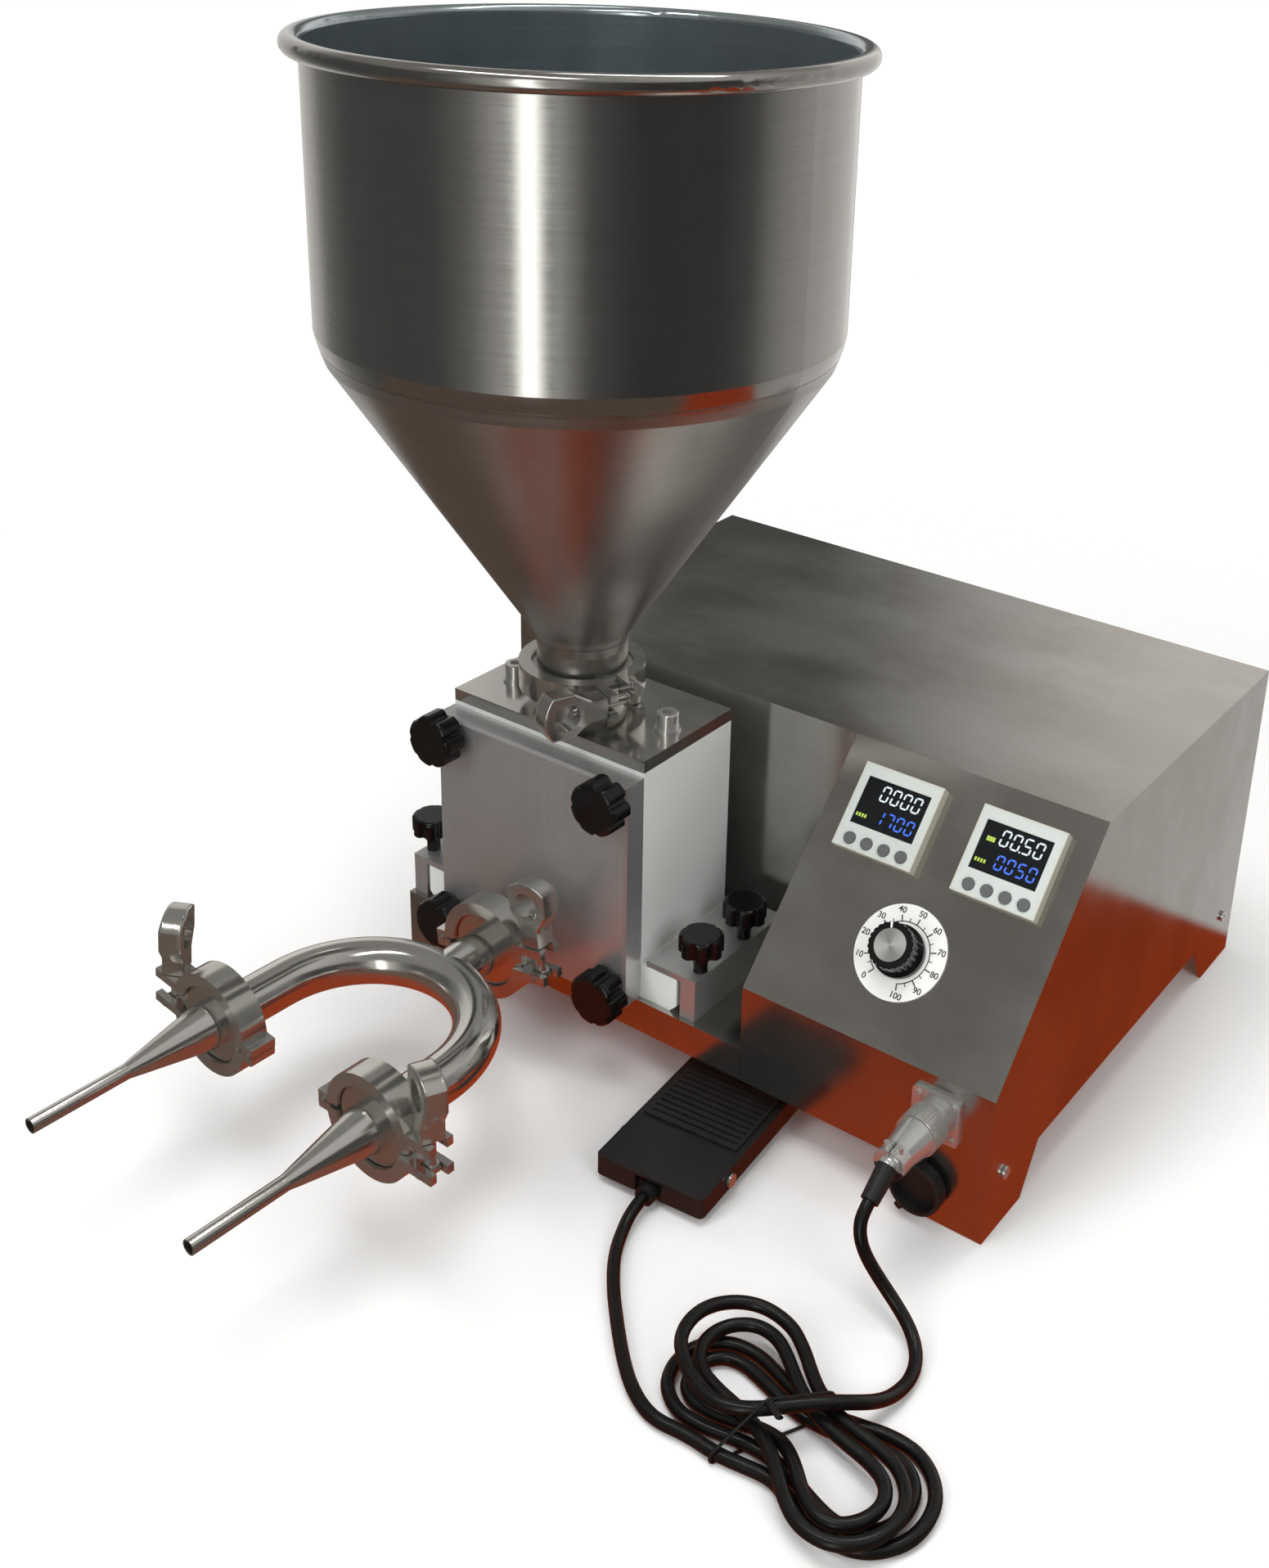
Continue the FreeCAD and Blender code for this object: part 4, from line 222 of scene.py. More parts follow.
def add_area_light(name, place, target, wide, high, power):
    """A rectangular soft box aimed at a point."""
    box = bpy.data.lights.new(name, "AREA")
    box.shape = "RECTANGLE"
    box.size = wide
    box.size_y = high
    box.energy = power
    lamp = bpy.data.objects.new(name, box)
    bpy.context.scene.collection.objects.link(lamp)
    lamp.location = place
    lamp.rotation_euler = (Vector(target) - Vector(place)).to_track_quat("-Z", "Y").to_euler()
    return lamp


def bell(tree, value, middle, half_wide):
    """One at the middle, falling to zero at half_wide on both sides."""
    return tree.node("ShaderNodeMapRange", {"interpolation_type": "SMOOTHSTEP"},
                     {"Value": abs(value - middle), "From Min": 0.0, "From Max": half_wide,
                      "To Min": 1.0, "To Max": 0.0})


def step_up(tree, value, low, high):
    """Zero below low, one above high, smooth between."""
    return tree.node("ShaderNodeMapRange", {"interpolation_type": "SMOOTHSTEP"},
                     {"Value": value, "From Min": low, "From Max": high, "To Min": 0.0, "To Max": 1.0})


machine_middle = Vector((0, 0, 0.25))
tube_long = 1.3
tube_wide = 0.12
tube_power = 4.2
add_area_light("front_tube_light", (-0.1, -0.75, 2.0), machine_middle, tube_long, tube_wide, tube_power)
add_area_light("rear_tube_light", (0.0, 0.55, 2.1), machine_middle, tube_long, tube_wide, tube_power)
side_boxes = [add_area_light("overhead_fill", (-0.1, -0.2, 2.0), machine_middle, 1.0, 0.8, 15),
              add_area_light("front_softbox", (-0.5, -1.9, 1.3), machine_middle, 0.9, 1.5, 22),
              add_area_light("right_softbox", (1.8, -0.8, 1.3), machine_middle, 0.9, 1.4, 17),
              add_area_light("left_softbox", (-1.9, 0.2, 1.1), machine_middle, 0.8, 1.4, 13),
              add_area_light("rear_softbox", (0.4, 2.0, 1.4), machine_middle, 1.2, 1.0, 12)]
for lamp in side_boxes:
    lamp.visible_glossy = False

# Room. It is what bright metal shows: a dim workshop with a tall window strip, paler walls behind and a
# ceiling. The camera sees plain white in its place.
world = bpy.data.worlds.new("studio")
bpy.context.scene.world = world
world.use_nodes = True
room = Shade(world.node_tree)
east, north, height_up = parts_of(room, room.node("ShaderNodeTexCoord", out=0))
degrees_round = room.math("ARCTAN2", north, east) * (180 / math.pi)
wall_tones = [(-180, 0.20), (-160, 0.085), (-136, 0.07), (-112, 0.07), (-96, 0.16), (-84, 0.42), (-56, 0.28),
              (-48, 0.09), (-28, 0.04), (5, 0.045), (22, 0.08), (36, 0.27), (60, 0.46), (85, 0.62),
              (100, 0.72), (110, 0.92), (116, 0.45), (121, 0.09), (129, 0.09), (133, 0.55), (141, 0.75),
              (168, 0.50), (180, 0.20)]
wall_stops = [(degrees / 360 + 0.5, (tone, tone * 0.975, tone * 0.93)) for degrees, tone in wall_tones]
walls = room.node("ShaderNodeValToRGB", {"stops": wall_stops}, {0: degrees_round / 360 + 0.5})
window_heading = -71.5
window_half_wide = 7.5
window_strip = bell(room, degrees_round, window_heading, window_half_wide)
window_edge = bell(room, degrees_round, window_heading + 12.0, 2.5)
edged_walls = mixed(room, window_edge * 0.30, walls, (1.0, 1.0, 1.0))
lit_walls = mixed(room, window_strip * 0.96, edged_walls, (3.2, 3.25, 3.1))
ceiling_starts = 0.44
ceiling_full = 0.62
pale_ceiling_heading = 20.0
pale_ceiling_half_wide = 95.0
ceiling_tone = mixed(room, bell(room, degrees_round, pale_ceiling_heading, pale_ceiling_half_wide),
                     (0.21, 0.203, 0.19), (0.46, 0.45, 0.43))
room_seen = mixed(room, step_up(room, height_up, ceiling_starts, ceiling_full), lit_walls, ceiling_tone)
for_camera = room.node("ShaderNodeLightPath")
background = world.node_tree.nodes["Background"]
room.feed(background.inputs[0], mixed(room, for_camera, room_seen, (1.0, 1.0, 1.0)))
background.inputs[1].default_value = 1.0

# Floor: pale and plain, white in the distance. Its gloss side is a painted reflection: a glow in the lit
# colours of the red-brown work table that the cabinet's lower faces mirror, which ends level with the
# cabinet's back.
floor_half = 6.0
floor_mesh = bpy.data.meshes.new("floor")
floor_corners = [(-floor_half, -floor_half, 0), (floor_half, -floor_half, 0), (floor_half, floor_half, 0),
                 (-floor_half, floor_half, 0)]
floor_mesh.from_pydata(floor_corners, [], [(0, 1, 2, 3)])
floor = bpy.data.objects.new("floor", floor_mesh)
bpy.context.scene.collection.objects.link(floor)
floor_look, floor_tree, floor_surface = start_material("pale_floor", (0.88, 0.875, 0.87), 0.7)
floor_place = place_in(floor_tree)
floor_clouds = noise(floor_tree, floor_place, 3.0)
floor_tree.feed(floor_surface.inputs["Base Color"],
                mixed(floor_tree, floor_clouds, (0.87, 0.865, 0.86), (0.90, 0.895, 0.89)))
floor_x, floor_y = parts_of(floor_tree, floor_place)[:2]
far_away = (floor_x * floor_x + floor_y * floor_y) ** 0.5
paths = floor_tree.node("ShaderNodeLightPath").socket.node
by_camera = Shade(floor_tree.tree, paths.outputs["Is Camera Ray"])
by_gloss = Shade(floor_tree.tree, paths.outputs["Is Glossy Ray"])
table_left = -0.62
table_right = 0.60
table_front = -0.55
table_back = at(0, 338, 0).y
table_edge = 0.03
on_table = step_up(floor_tree, floor_x, table_left - table_edge, table_left)
on_table = on_table * step_up(floor_tree, floor_y, table_front - 0.2, table_front)
on_table = on_table * (1 - step_up(floor_tree, floor_x, table_right, table_right + table_edge))
on_table = on_table * (1 - step_up(floor_tree, floor_y, table_back, table_back + 0.012))
dim_glow_y = at(0, -290, 0).y
table_warm_y = at(0, -95, 0).y
dim_glow_x = at(-440, 0, 0).x
table_warm_x = at(-330, 0, 0).x
side_start_y = at(0, -20, 0).y
side_start_x = at(50, 0, 0).x
# Painted reflection: the glow is warm red-brown near the cabinet and a dim neutral further out in front, to
# the left and to the front right.
warm_part = step_up(floor_tree, floor_y, dim_glow_y, table_warm_y)
warm_part = warm_part * step_up(floor_tree, floor_x, dim_glow_x, table_warm_x)
beside_front = step_up(floor_tree, floor_x, side_start_x - table_edge, side_start_x + table_edge)
behind_start = step_up(floor_tree, floor_y, side_start_y - table_edge, side_start_y + table_edge)
warm_part = warm_part * (1 - beside_front * (1 - behind_start))
table_grain = noise(floor_tree, floor_place, 9.0)
warm_grain = mixed(floor_tree, table_grain, (0.27, 0.030, 0.004), (0.35, 0.046, 0.008))
painted_table_colour = mixed(floor_tree, warm_part, (0.115, 0.082, 0.062), warm_grain)
# An emission that the lamps do not light: the table's lit colours painted into what the metal reflects.
painted_table_glow = floor_tree.node("ShaderNodeEmission", {}, {"Color": painted_table_colour, "Strength": 1.0})
nothing = floor_tree.node("ShaderNodeBsdfTransparent")
far_white = floor_tree.node("ShaderNodeEmission", {}, {"Color": (1, 1, 1, 1), "Strength": 1.0})
near_floor = Shade(floor_tree.tree, floor_surface.outputs[0])
fade_starts = 0.42
fade_ends = 1.0
fading = by_camera * step_up(floor_tree, far_away, fade_starts, fade_ends)
faded = floor_tree.node("ShaderNodeMixShader", {}, {0: fading, 1: near_floor, 2: far_white})
mirrored = floor_tree.node("ShaderNodeMixShader", {}, {0: on_table, 1: nothing, 2: painted_table_glow})
floor_end = floor_tree.node("ShaderNodeMixShader", {}, {0: by_gloss, 1: faded, 2: mirrored})
floor_tree.feed(floor_look.node_tree.nodes["Material Output"].inputs[0], floor_end)
floor_mesh.materials.append(floor_look)
floor_drop = 0.0003
floor.location.z = -floor_drop


def dress(look, *names):
    """Give CAD nodes a material."""
    for name in names:
        piece = nodes[name]
        piece.data.materials.clear()
        piece.data.materials.append(look)


# Pedal cord. A round black PVC lead runs from the pedal's gland over the table, is folded into a loose tied
# hank, and goes up to the plug on the console. It is one length of lead and all of it shows.
lead_radius = 3.25
lead_rest = lead_radius + 0.05
boot_droop = math.radians(32.0)
boot_long = 19.0
socket_x = -31.0
socket_z = 65.6
boot_root = Vector((socket_x, -47.0, socket_z))
droop_way = Vector((0, -math.cos(boot_droop), -math.sin(boot_droop)))
boot_end = boot_root + droop_way * boot_long
pedal_yaw = math.radians(5.0)
pedal_front = (-150.5, -79.5)


def on_pedal(x, y, z):
    """A point of the pedal's own frame in the cabinet's millimetres."""
    return Vector((pedal_front[0] + x * math.cos(pedal_yaw) - y * math.sin(pedal_yaw),
                   pedal_front[1] + x * math.sin(pedal_yaw) + y * math.cos(pedal_yaw), z))


hank_centre = (-10.0, -156.0)
hank_turn = -4.0
hank_fan = -20.0
hank_half_long = 54.0
hank_half_wide = 14.0
hank_end_wide = 2.0
hank_pinch = 6.5
hank_step = 7.6
hank_end_step = 2.0
hank_turns = 4
hank_layer = 7.7
hank_begin = 0.09
hank_end = 3.86
hank_lead = 2 * lead_radius
points_a_turn = 24


def eased(value):
    """Zero to one with level ends."""
    value = min(1.0, max(0.0, value))
    return 3 * value ** 2 - 2 * value ** 3


def hank_point(turns):
    """Centre line of the hank: in along the lower layer, out along the upper, then up to cross over."""
    half = hank_turns / 2
    t = 2 * math.pi * (turns + 0.75)
    wide = hank_half_wide + hank_end_wide * math.cos(t)
    u = hank_half_long * math.cos(t)
    v = wide * math.sin(t) + hank_pinch * math.sin(3 * t)
    du = -hank_half_long * math.sin(t)
    dv = wide * math.cos(t) - hank_end_wide * math.sin(t) ** 2 + 3 * hank_pinch * math.cos(3 * t)
    step = hank_step + hank_end_step * math.cos(t) ** 2
    spread = step * abs(turns - half) / math.hypot(du, dv)
    u += spread * dv
    v -= spread * du
    change = eased((turns - half) * 6 + 0.5)
    layer = change + eased((turns - hank_end + 0.3) / 0.28)
    a = math.radians(hank_turn + hank_fan * change)
    return Vector((hank_centre[0] + u * math.cos(a) - v * math.sin(a),
                   hank_centre[1] + u * math.sin(a) + v * math.cos(a), lead_rest + hank_layer * layer))


def hank_way(turns):
    """Unit direction of the hank's centre line."""
    return (hank_point(turns + 1e-4) - hank_point(turns - 1e-4)).normalized()


gland_z = 7.5
on_table_places = ((-139, -121), (-127, -136.5), (-112.5, -151.5), (-97.5, -166), (-82, -178.5), (-65, -186),
                   (-47.1, -183.2), (-29.9, -183.8), (-16.8, -181.3))
pedal_stretch = [on_pedal(0, -4, gland_z), on_pedal(0, -14, gland_z), on_pedal(2.3, -27.9, lead_rest + 0.3)]
pedal_stretch += [Vector((x, y, lead_rest)) for x, y in on_table_places]
pedal_stretch += [hank_point(hank_begin) - hank_way(hank_begin) * (hank_lead + 11.8),
                  hank_point(hank_begin) - hank_way(hank_begin) * hank_lead]
plug_stretch = [boot_end, boot_end + droop_way * 7]
down_from_boot = ((-29.8, -72.8, 46), (-26.8, -74.2, 38.6), (-22.3, -73.2, 30), (-15.6, -72, 21.2),
                  (-7, -72.1, 13.2), (3.3, -75.6, 7), (11.9, -84.2, 3.6), (16.2, -96.5, lead_rest),
                  (15.9, -109.3, 4.6), (14.2, -121.9, 9.7), (9.9, -133.5, 16.2), (0.6, -145, 20.4),
                  (-12.5, -157.8, 20.5), (-23.9, -168.2, 20), (-35, -173, 19.2))
plug_stretch += [Vector(place) for place in down_from_boot]
plug_stretch += [hank_point(hank_end) + hank_way(hank_end) * (hank_lead + 10),
                 hank_point(hank_end) + hank_way(hank_end) * hank_lead]
hank_span = hank_end - hank_begin
hank_points = round(hank_span * points_a_turn)
hank_line = [hank_point(hank_begin + hank_span * i / hank_points) for i in range(hank_points + 1)]
route = pedal_stretch + hank_line + list(reversed(plug_stretch))


def add_line(curve, kind, places):
    """A line of a curve through places of the model."""
    line = curve.splines.new(kind)
    line.points.add(len(places) - 1)
    for knot, place in zip(line.points, places):
        knot.co = (*place, 1)
    return line


lead_curve = bpy.data.curves.new("pedal_lead", "CURVE")
lead_curve.dimensions = "3D"
lead_line = add_line(lead_curve, "NURBS", [at(*place) for place in route])
lead_line.order_u = 3
lead_line.use_endpoint_u = True
lead_line.resolution_u = 6
lead_curve.bevel_depth = lead_radius / 1000
lead_curve.bevel_resolution = 6
lead_curve.use_fill_caps = True
pedal_lead = bpy.data.objects.new("pedal_lead", lead_curve)
bpy.context.scene.collection.objects.link(pedal_lead)

lead_look, lead_tree, lead_surface = start_material("black_pvc", (0.006, 0.006, 0.006), 0.3, IOR=1.5)
lead_marks = noise(lead_tree, place_in(lead_tree), 90.0)
lead_dust = noise(lead_tree, place_in(lead_tree), 900.0, 2.0)
lead_tree.feed(lead_surface.inputs["Roughness"], lead_marks * 0.18 + 0.18)
lead_tree.feed(lead_surface.inputs["Base Color"],
               mixed(lead_tree, lead_dust * lead_marks, (0.003, 0.003, 0.003), (0.010, 0.009, 0.008)))
bumped(lead_tree, lead_surface, lead_dust, 0.03, 0.5)
lead_curve.materials.append(lead_look)
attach(pedal_lead, "machine")
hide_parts("cord_pedal_run", "cord_hank", "cord_plug_run")


def line_length(line_object):
    """Length of a curve's own line, in metres."""
    bare = line_object.data.copy()
    bare.bevel_depth = 0
    probe = bpy.data.objects.new("probe", bare)
    mesh = bpy.data.meshes.new_from_object(probe)
    points = [v.co.copy() for v in mesh.vertices]
    bpy.data.objects.remove(probe)
    bpy.data.meshes.remove(mesh)
    bpy.data.curves.remove(bare)
    return sum((b - a).length for a, b in zip(points, points[1:]))


lead_long = round(line_length(pedal_lead), 3)
tuple(at(*pedal_stretch[0]))

# Hank tie. A thin black plastic twist tie is drawn round the middle of the hank, and its two ends are
# twisted together on top.
tie_look = plain_look("tie_plastic", (0.008, 0.008, 0.008), 0.0, 400.0, 0.2, 0.2)
tie_radius = 0.8
tie_gap = 0.4
tie_steps = 16
hank_reach = 40
tie_middle = Vector((-16.0, -158.5, 0))
tie_angle = math.radians(62.0)
tie_across = Vector((math.cos(tie_angle), math.sin(tie_angle), 0))
tie_along = Vector((tie_across.y, -tie_across.x, 0))
tied = []
for before, after in zip(route, route[1:]):
    near_side = (before - tie_middle).dot(tie_along)
    far_side = (after - tie_middle).dot(tie_along)
    if near_side * far_side < 0 and abs((before - tie_middle).dot(tie_across)) < hank_reach:
        crossing = before.lerp(after, near_side / (near_side - far_side))
        tied.append(((crossing - tie_middle).dot(tie_across), crossing.z))
around = []
reach = lead_radius + tie_radius + tie_gap
for sideways, height in tied:
    for i in range(tie_steps):
        a = 2 * math.pi * i / tie_steps
        around.append(Vector((sideways + reach * math.cos(a), max(tie_radius, height + reach * math.sin(a)))))
loop = [around[i] for i in geometry.convex_hull_2d(around)]
twist_start = max(loop, key=lambda p: p.y)
tie_places = [tie_middle + tie_across * p.x + Vector((0, 0, p.y)) for p in loop]
tie_curve = bpy.data.curves.new("hank_tie", "CURVE")
tie_curve.dimensions = "3D"
tie_line = add_line(tie_curve, "POLY", [at(*place) for place in tie_places])
tie_line.use_cyclic_u = True
twist_turns = 3
twist_long = 11.0
twist_foot = tie_middle + tie_across * twist_start.x + Vector((0, 0, twist_start.y))
twist_rise = 0.6
twist_steps = twist_turns * 8
for side in (0, math.pi):
    strand = []
    for i in range(twist_steps + 1):
        a = side + 2 * math.pi * twist_turns * i / twist_steps
        out = tie_along * (twist_long * i / twist_steps) + tie_across * math.cos(a)
        strand.append(at(*(twist_foot + out + Vector((0, 0, twist_rise + math.sin(a))))))
    add_line(tie_curve, "POLY", strand)
tie_curve.bevel_depth = tie_radius / 1000
tie_curve.bevel_resolution = 3
tie_curve.materials.append(tie_look)
hank_tie = bpy.data.objects.new("hank_tie", tie_curve)
bpy.context.scene.collection.objects.link(hank_tie)
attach(hank_tie, "machine")

# Cabinet. The cover, tray and back are 1.5 mm stainless sheet with a fine brushed face, folded, spot welded
# and screwed. Handling has left faint smudges and hairlines.
steel_look, steel_tree, steel_surface = start_material("brushed_sheet", (0.55, 0.54, 0.52), 0.2, 0.985)
facing_x = parts_of(steel_tree, steel_tree.node("ShaderNodeNewGeometry", out=1))[0]
side_face = step_up(steel_tree, abs(facing_x), 0.68, 0.72)
grain_x = noise(steel_tree, place_in(steel_tree, (7, 1300, 1300)), 1.0, 4.0, 0.6)
grain_y = noise(steel_tree, place_in(steel_tree, (1300, 7, 1300)), 1.0, 4.0, 0.6)
grain = grain_x * (1 - side_face) + grain_y * side_face
smudge = noise(steel_tree, place_in(steel_tree, (1, 1.4, 1)), 7.0, 4.0, 0.6)
wiped = noise(steel_tree, place_in(steel_tree, (3, 14, 9)), 1.0, 5.0, 0.65)
cloud = step_up(steel_tree, smudge, 0.34, 0.66)
steel_tree.feed(steel_surface.inputs["Roughness"], grain * 0.08 + wiped * 0.12 + cloud * 0.07 + 0.045)
steel_tree.feed(steel_surface.inputs["Base Color"],
                mixed(steel_tree, cloud * 0.7 + grain * 0.3, (0.42, 0.40, 0.37), (0.64, 0.63, 0.61)))
bumped(steel_tree, steel_surface, grain * 0.6 + smudge * 3.0, 0.02, 0.3)
dress(steel_look, "housing", "base_tray", "rear_panel")

# Hopper. It is spun from thin stainless sheet, a cylinder welded to a cone, with fine rings round both, a
# rolled rim and a welded neck with its ferrule. The cone is duller, and the inside is polished, with a cooler
# painted reflection in its colour.
spun_look, spun_tree, spun_surface = start_material("spun_steel", (0.55, 0.54, 0.53), 0.2, 0.98)
hopper_low, hopper_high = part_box("hopper")
hopper_axis = Vector(((hopper_low.x + hopper_high.x) / 2, (hopper_low.y + hopper_high.y) / 2, 0))
from_axis_x, from_axis_y, ring_height = parts_of(spun_tree, seat_at(spun_tree, hopper_axis))
normal_x, normal_y = parts_of(spun_tree, spun_tree.node("ShaderNodeNewGeometry", out=1))[:2]
outward = normal_x * from_axis_x + normal_y * from_axis_y
inside = step_up(spun_tree, outward * -1.0, 0.0, 0.004)


def rings_round(across_scale, rings_a_metre):
    """Noise that runs round the hopper in rings."""
    place = spun_tree.node("ShaderNodeCombineXYZ", {}, {
        0: from_axis_x * across_scale, 1: from_axis_y * across_scale, 2: ring_height * rings_a_metre})
    return noise(spun_tree, place, 1.0, 3.0, 0.6)


rings = rings_round(4.0, 800.0)
wide_rings = rings_round(2.0, 160.0)
scuffs = noise(spun_tree, place_in(spun_tree, (60, 60, 18)), 1.0, 5.0, 0.7)
seam_height = at(0, 0, 407.5).z
neck_height = at(0, 0, 238.0).z
weld_half_wide = 0.0012
weld = bell(spun_tree, ring_height, seam_height, weld_half_wide)
weld = weld + bell(spun_tree, ring_height, neck_height, weld_half_wide)
on_cone = step_up(spun_tree, ring_height * -1.0, -seam_height, -seam_height + 0.003)
spun_tree.feed(spun_surface.inputs["Roughness"],
               rings * 0.07 + wide_rings * 0.06 + scuffs * 0.09 + weld * 0.2 + on_cone * 0.17 + 0.05)
outer_colour = mixed(spun_tree, rings * 0.5 + scuffs * 0.5, (0.42, 0.405, 0.385), (0.62, 0.61, 0.59))
# Painted reflection: the inside's colour is cooler and bluish, standing for what it mirrors, with the rings
# and scuffs over it.
inner_colour_and_reflection = mixed(spun_tree, rings * 0.5 + scuffs * 0.5, (0.36, 0.42, 0.45), (0.56, 0.62, 0.65))
skin_colour = mixed(spun_tree, inside, outer_colour, inner_colour_and_reflection)
spun_tree.feed(spun_surface.inputs["Base Color"],
               mixed(spun_tree, weld * 0.5, skin_colour, (0.28, 0.26, 0.24)))
spun_tree.feed(spun_surface.inputs["Metallic"], 0.99 - inside * 0.07)
bumped(spun_tree, spun_surface, rings + wide_rings * 2.0 + weld * 4.0, 0.006, 0.3)
dress(spun_look, "hopper")

# Tube work. The manifold, nozzles, ferrules and top plate are polished stainless, drawn, turned or milled,
# with shallow drawing marks. Clamps hold their ferrules face to face.
bright_look, bright_tree, bright_surface = start_material("polished_steel", (0.64, 0.625, 0.595), 0.1, 0.98)
handling = noise(bright_tree, place_in(bright_tree), 30.0, 4.0)
hairlines = noise(bright_tree, place_in(bright_tree, (700, 700, 60)), 1.0, 3.0)
ripples = noise(bright_tree, place_in(bright_tree), 75.0, 2.0)
bright_tree.feed(bright_surface.inputs["Roughness"], handling * 0.16 + hairlines * 0.08 + 0.03)
bright_tree.feed(bright_surface.inputs["Base Color"],
                 mixed(bright_tree, handling, (0.68, 0.665, 0.635), (0.82, 0.81, 0.785)))
bumped(bright_tree, bright_surface, hairlines + ripples * 8.0, 0.012, 0.35)
dress(bright_look, "u_manifold", "nozzles", "pump_top_plate", "outlet_ferrule")

# Clamps. Investment-cast stainless halves and wing nuts, tumbled and buffed: bright, with a faint uneven
# skin. A bolt and its wing nut draw each pair of halves together.
cast_look, cast_tree, cast_surface = start_material("cast_steel", (0.52, 0.505, 0.475), 0.24, 0.94)
cast_skin = noise(cast_tree, place_in(cast_tree), 260.0, 3.0)
patches = noise(cast_tree, place_in(cast_tree), 60.0)
cast_tree.feed(cast_surface.inputs["Roughness"], cast_skin * 0.09 + patches * 0.09 + 0.06)
cast_tree.feed(cast_surface.inputs["Base Color"],
               mixed(cast_tree, patches, (0.52, 0.505, 0.47), (0.70, 0.69, 0.655)))
bumped(cast_tree, cast_surface, cast_skin, 0.03, 0.3)
wing_nuts = [name for name in nodes if name.endswith("wing_nut")]
dress(cast_look, "hopper_clamp", "nozzle_clamps", *wing_nuts)

# Pump block. White acetal, milled smooth, with the faintest cutter lines. The side clamp bars press its
# flanges down on the tray.
block_look, block_tree, block_surface = start_material("white_acetal", (0.66, 0.68, 0.66), 0.38)
cutter = noise(block_tree, place_in(block_tree, (12, 12, 420)), 1.0, 2.0)
haze = noise(block_tree, place_in(block_tree), 14.0)
block_tree.feed(block_surface.inputs["Roughness"], cutter * 0.16 + 0.30)
block_tree.feed(block_surface.inputs["Base Color"],
                mixed(block_tree, haze, (0.66, 0.685, 0.66), (0.74, 0.76, 0.74)))
bumped(block_tree, block_surface, cutter, 0.02, 0.4)
dress(block_look, "pump_body")

# Front plate and clamp bars. Milled aluminium with a silky drawn face and a bright bevel along its rim,
# held by the star knobs. The motor's case and the shaft coupling inside have the same finish.
plate_look, plate_tree, plate_surface = start_material("silk_aluminium", (0.62, 0.61, 0.61), 0.34, 0.80)
blast = noise(plate_tree, place_in(plate_tree), 1500.0, 2.0)
rolling = noise(plate_tree, place_in(plate_tree, (700, 700, 9)), 1.0, 3.0)
cloudy = noise(plate_tree, place_in(plate_tree), 16.0, 3.0)
plate_tree.feed(plate_surface.inputs["Roughness"], blast * 0.08 + rolling * 0.08 + cloudy * 0.14 + 0.19)
plate_tree.feed(plate_surface.inputs["Base Color"],
                mixed(plate_tree, rolling * 0.5 + cloudy * 0.5, (0.52, 0.51, 0.51), (0.70, 0.695, 0.69)))
bumped(plate_tree, plate_surface, blast + rolling, 0.012, 0.35)
dress(plate_look, "pump_front_plate", "side_clamp_bars", "gear_motor", "shaft_coupling")

# Turned steel. The screws with bright heads, the pump's gears, the bearing housing and the potentiometer's
# can come from the lathe with fine tool marks.
turned_look, turned_tree, turned_surface = start_material("turned_steel", (0.74, 0.73, 0.71), 0.3, 0.86)
tool_marks = noise(turned_tree, place_in(turned_tree, (40, 900, 40)), 1.0)
turned_tree.feed(turned_surface.inputs["Roughness"], tool_marks * 0.16 + 0.12)
dress(turned_look, "fixing_screws", "drive_gear", "idler_gear", "shaft_bearing", "potentiometer")

# Star knobs. Moulded black phenolic with a hard gloss, a little greyer where hands wear it. The dial's
# knob, the mains inlet and the pedal's switch are like black mouldings.
knob_look, knob_tree, knob_surface = start_material("black_phenolic", (0.003, 0.003, 0.003), 0.16)
knob_wear = noise(knob_tree, place_in(knob_tree), 70.0)
knob_tree.feed(knob_surface.inputs["Roughness"], knob_wear * 0.12 + 0.09)
knob_tree.feed(knob_surface.inputs["Base Color"],
               mixed(knob_tree, knob_wear, (0.002, 0.002, 0.002), (0.006, 0.006, 0.006)))
star_knobs = [name for name in nodes if "_knob_" in name]
dress(knob_look, "dial_knob", "power_inlet", "pedal_switch", *star_knobs)

# Gaskets, rocker and board. Soft white silicone rings lie between the ferrules, the power switch at the
# back has a red rocker, and the speed controller inside is a green circuit board.
dress(plain_look("white_silicone", (0.78, 0.78, 0.76), 0.0, 300.0, 0.4, 0.2), "clamp_gaskets")
dress(plain_look("red_rocker", (0.50, 0.02, 0.02), 0.0, 200.0, 0.18, 0.15), "power_switch")
dress(plain_look("green_board", (0.03, 0.16, 0.06), 0.0, 200.0, 0.25, 0.2), "control_board")

# Timers. Two 48 mm timers with a grey face, cream sides and a lit display sit in the slanted panel. Places
# on the panel are U to the right, V down the slope from its top edge, and W out of it.
panel_top_y = 102.5
panel_top_z = 197.0
crease_z = 87.5
panel_long = math.hypot(panel_top_y, panel_top_z - crease_z)
panel_down = Vector((0, -panel_top_y, crease_z - panel_top_z)) / panel_long
panel_out = Vector((0, panel_down.z, -panel_down.y))


def on_panel(u, v, w):
    """A place on the slanted panel."""
    return at(*(Vector((u, panel_top_y, panel_top_z)) + panel_down * v + panel_out * w))


def plate_mesh(name, faces, look, body):
    """A flat or raised piece on the panel from outlines in U and V, each with its bottom and top W."""
    mesh = bpy.data.meshes.new(name)
    built = bmesh.new()
    for outline, low, high in faces:
        bottom = [built.verts.new(on_panel(u, v, low)) for u, v in outline]
        top = [built.verts.new(on_panel(u, v, high)) for u, v in outline]
        built.faces.new(top)
        built.faces.new(list(reversed(bottom)))
        for i in range(len(outline)):
            j = (i + 1) % len(outline)
            built.faces.new((bottom[i], bottom[j], top[j], top[i]))
    bmesh.ops.recalc_face_normals(built, faces=built.faces)
    built.to_mesh(mesh)
    built.free()
    mesh.materials.append(look)
    piece = bpy.data.objects.new(name, mesh)
    bpy.context.scene.collection.objects.link(piece)
    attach(piece, body)
    return piece


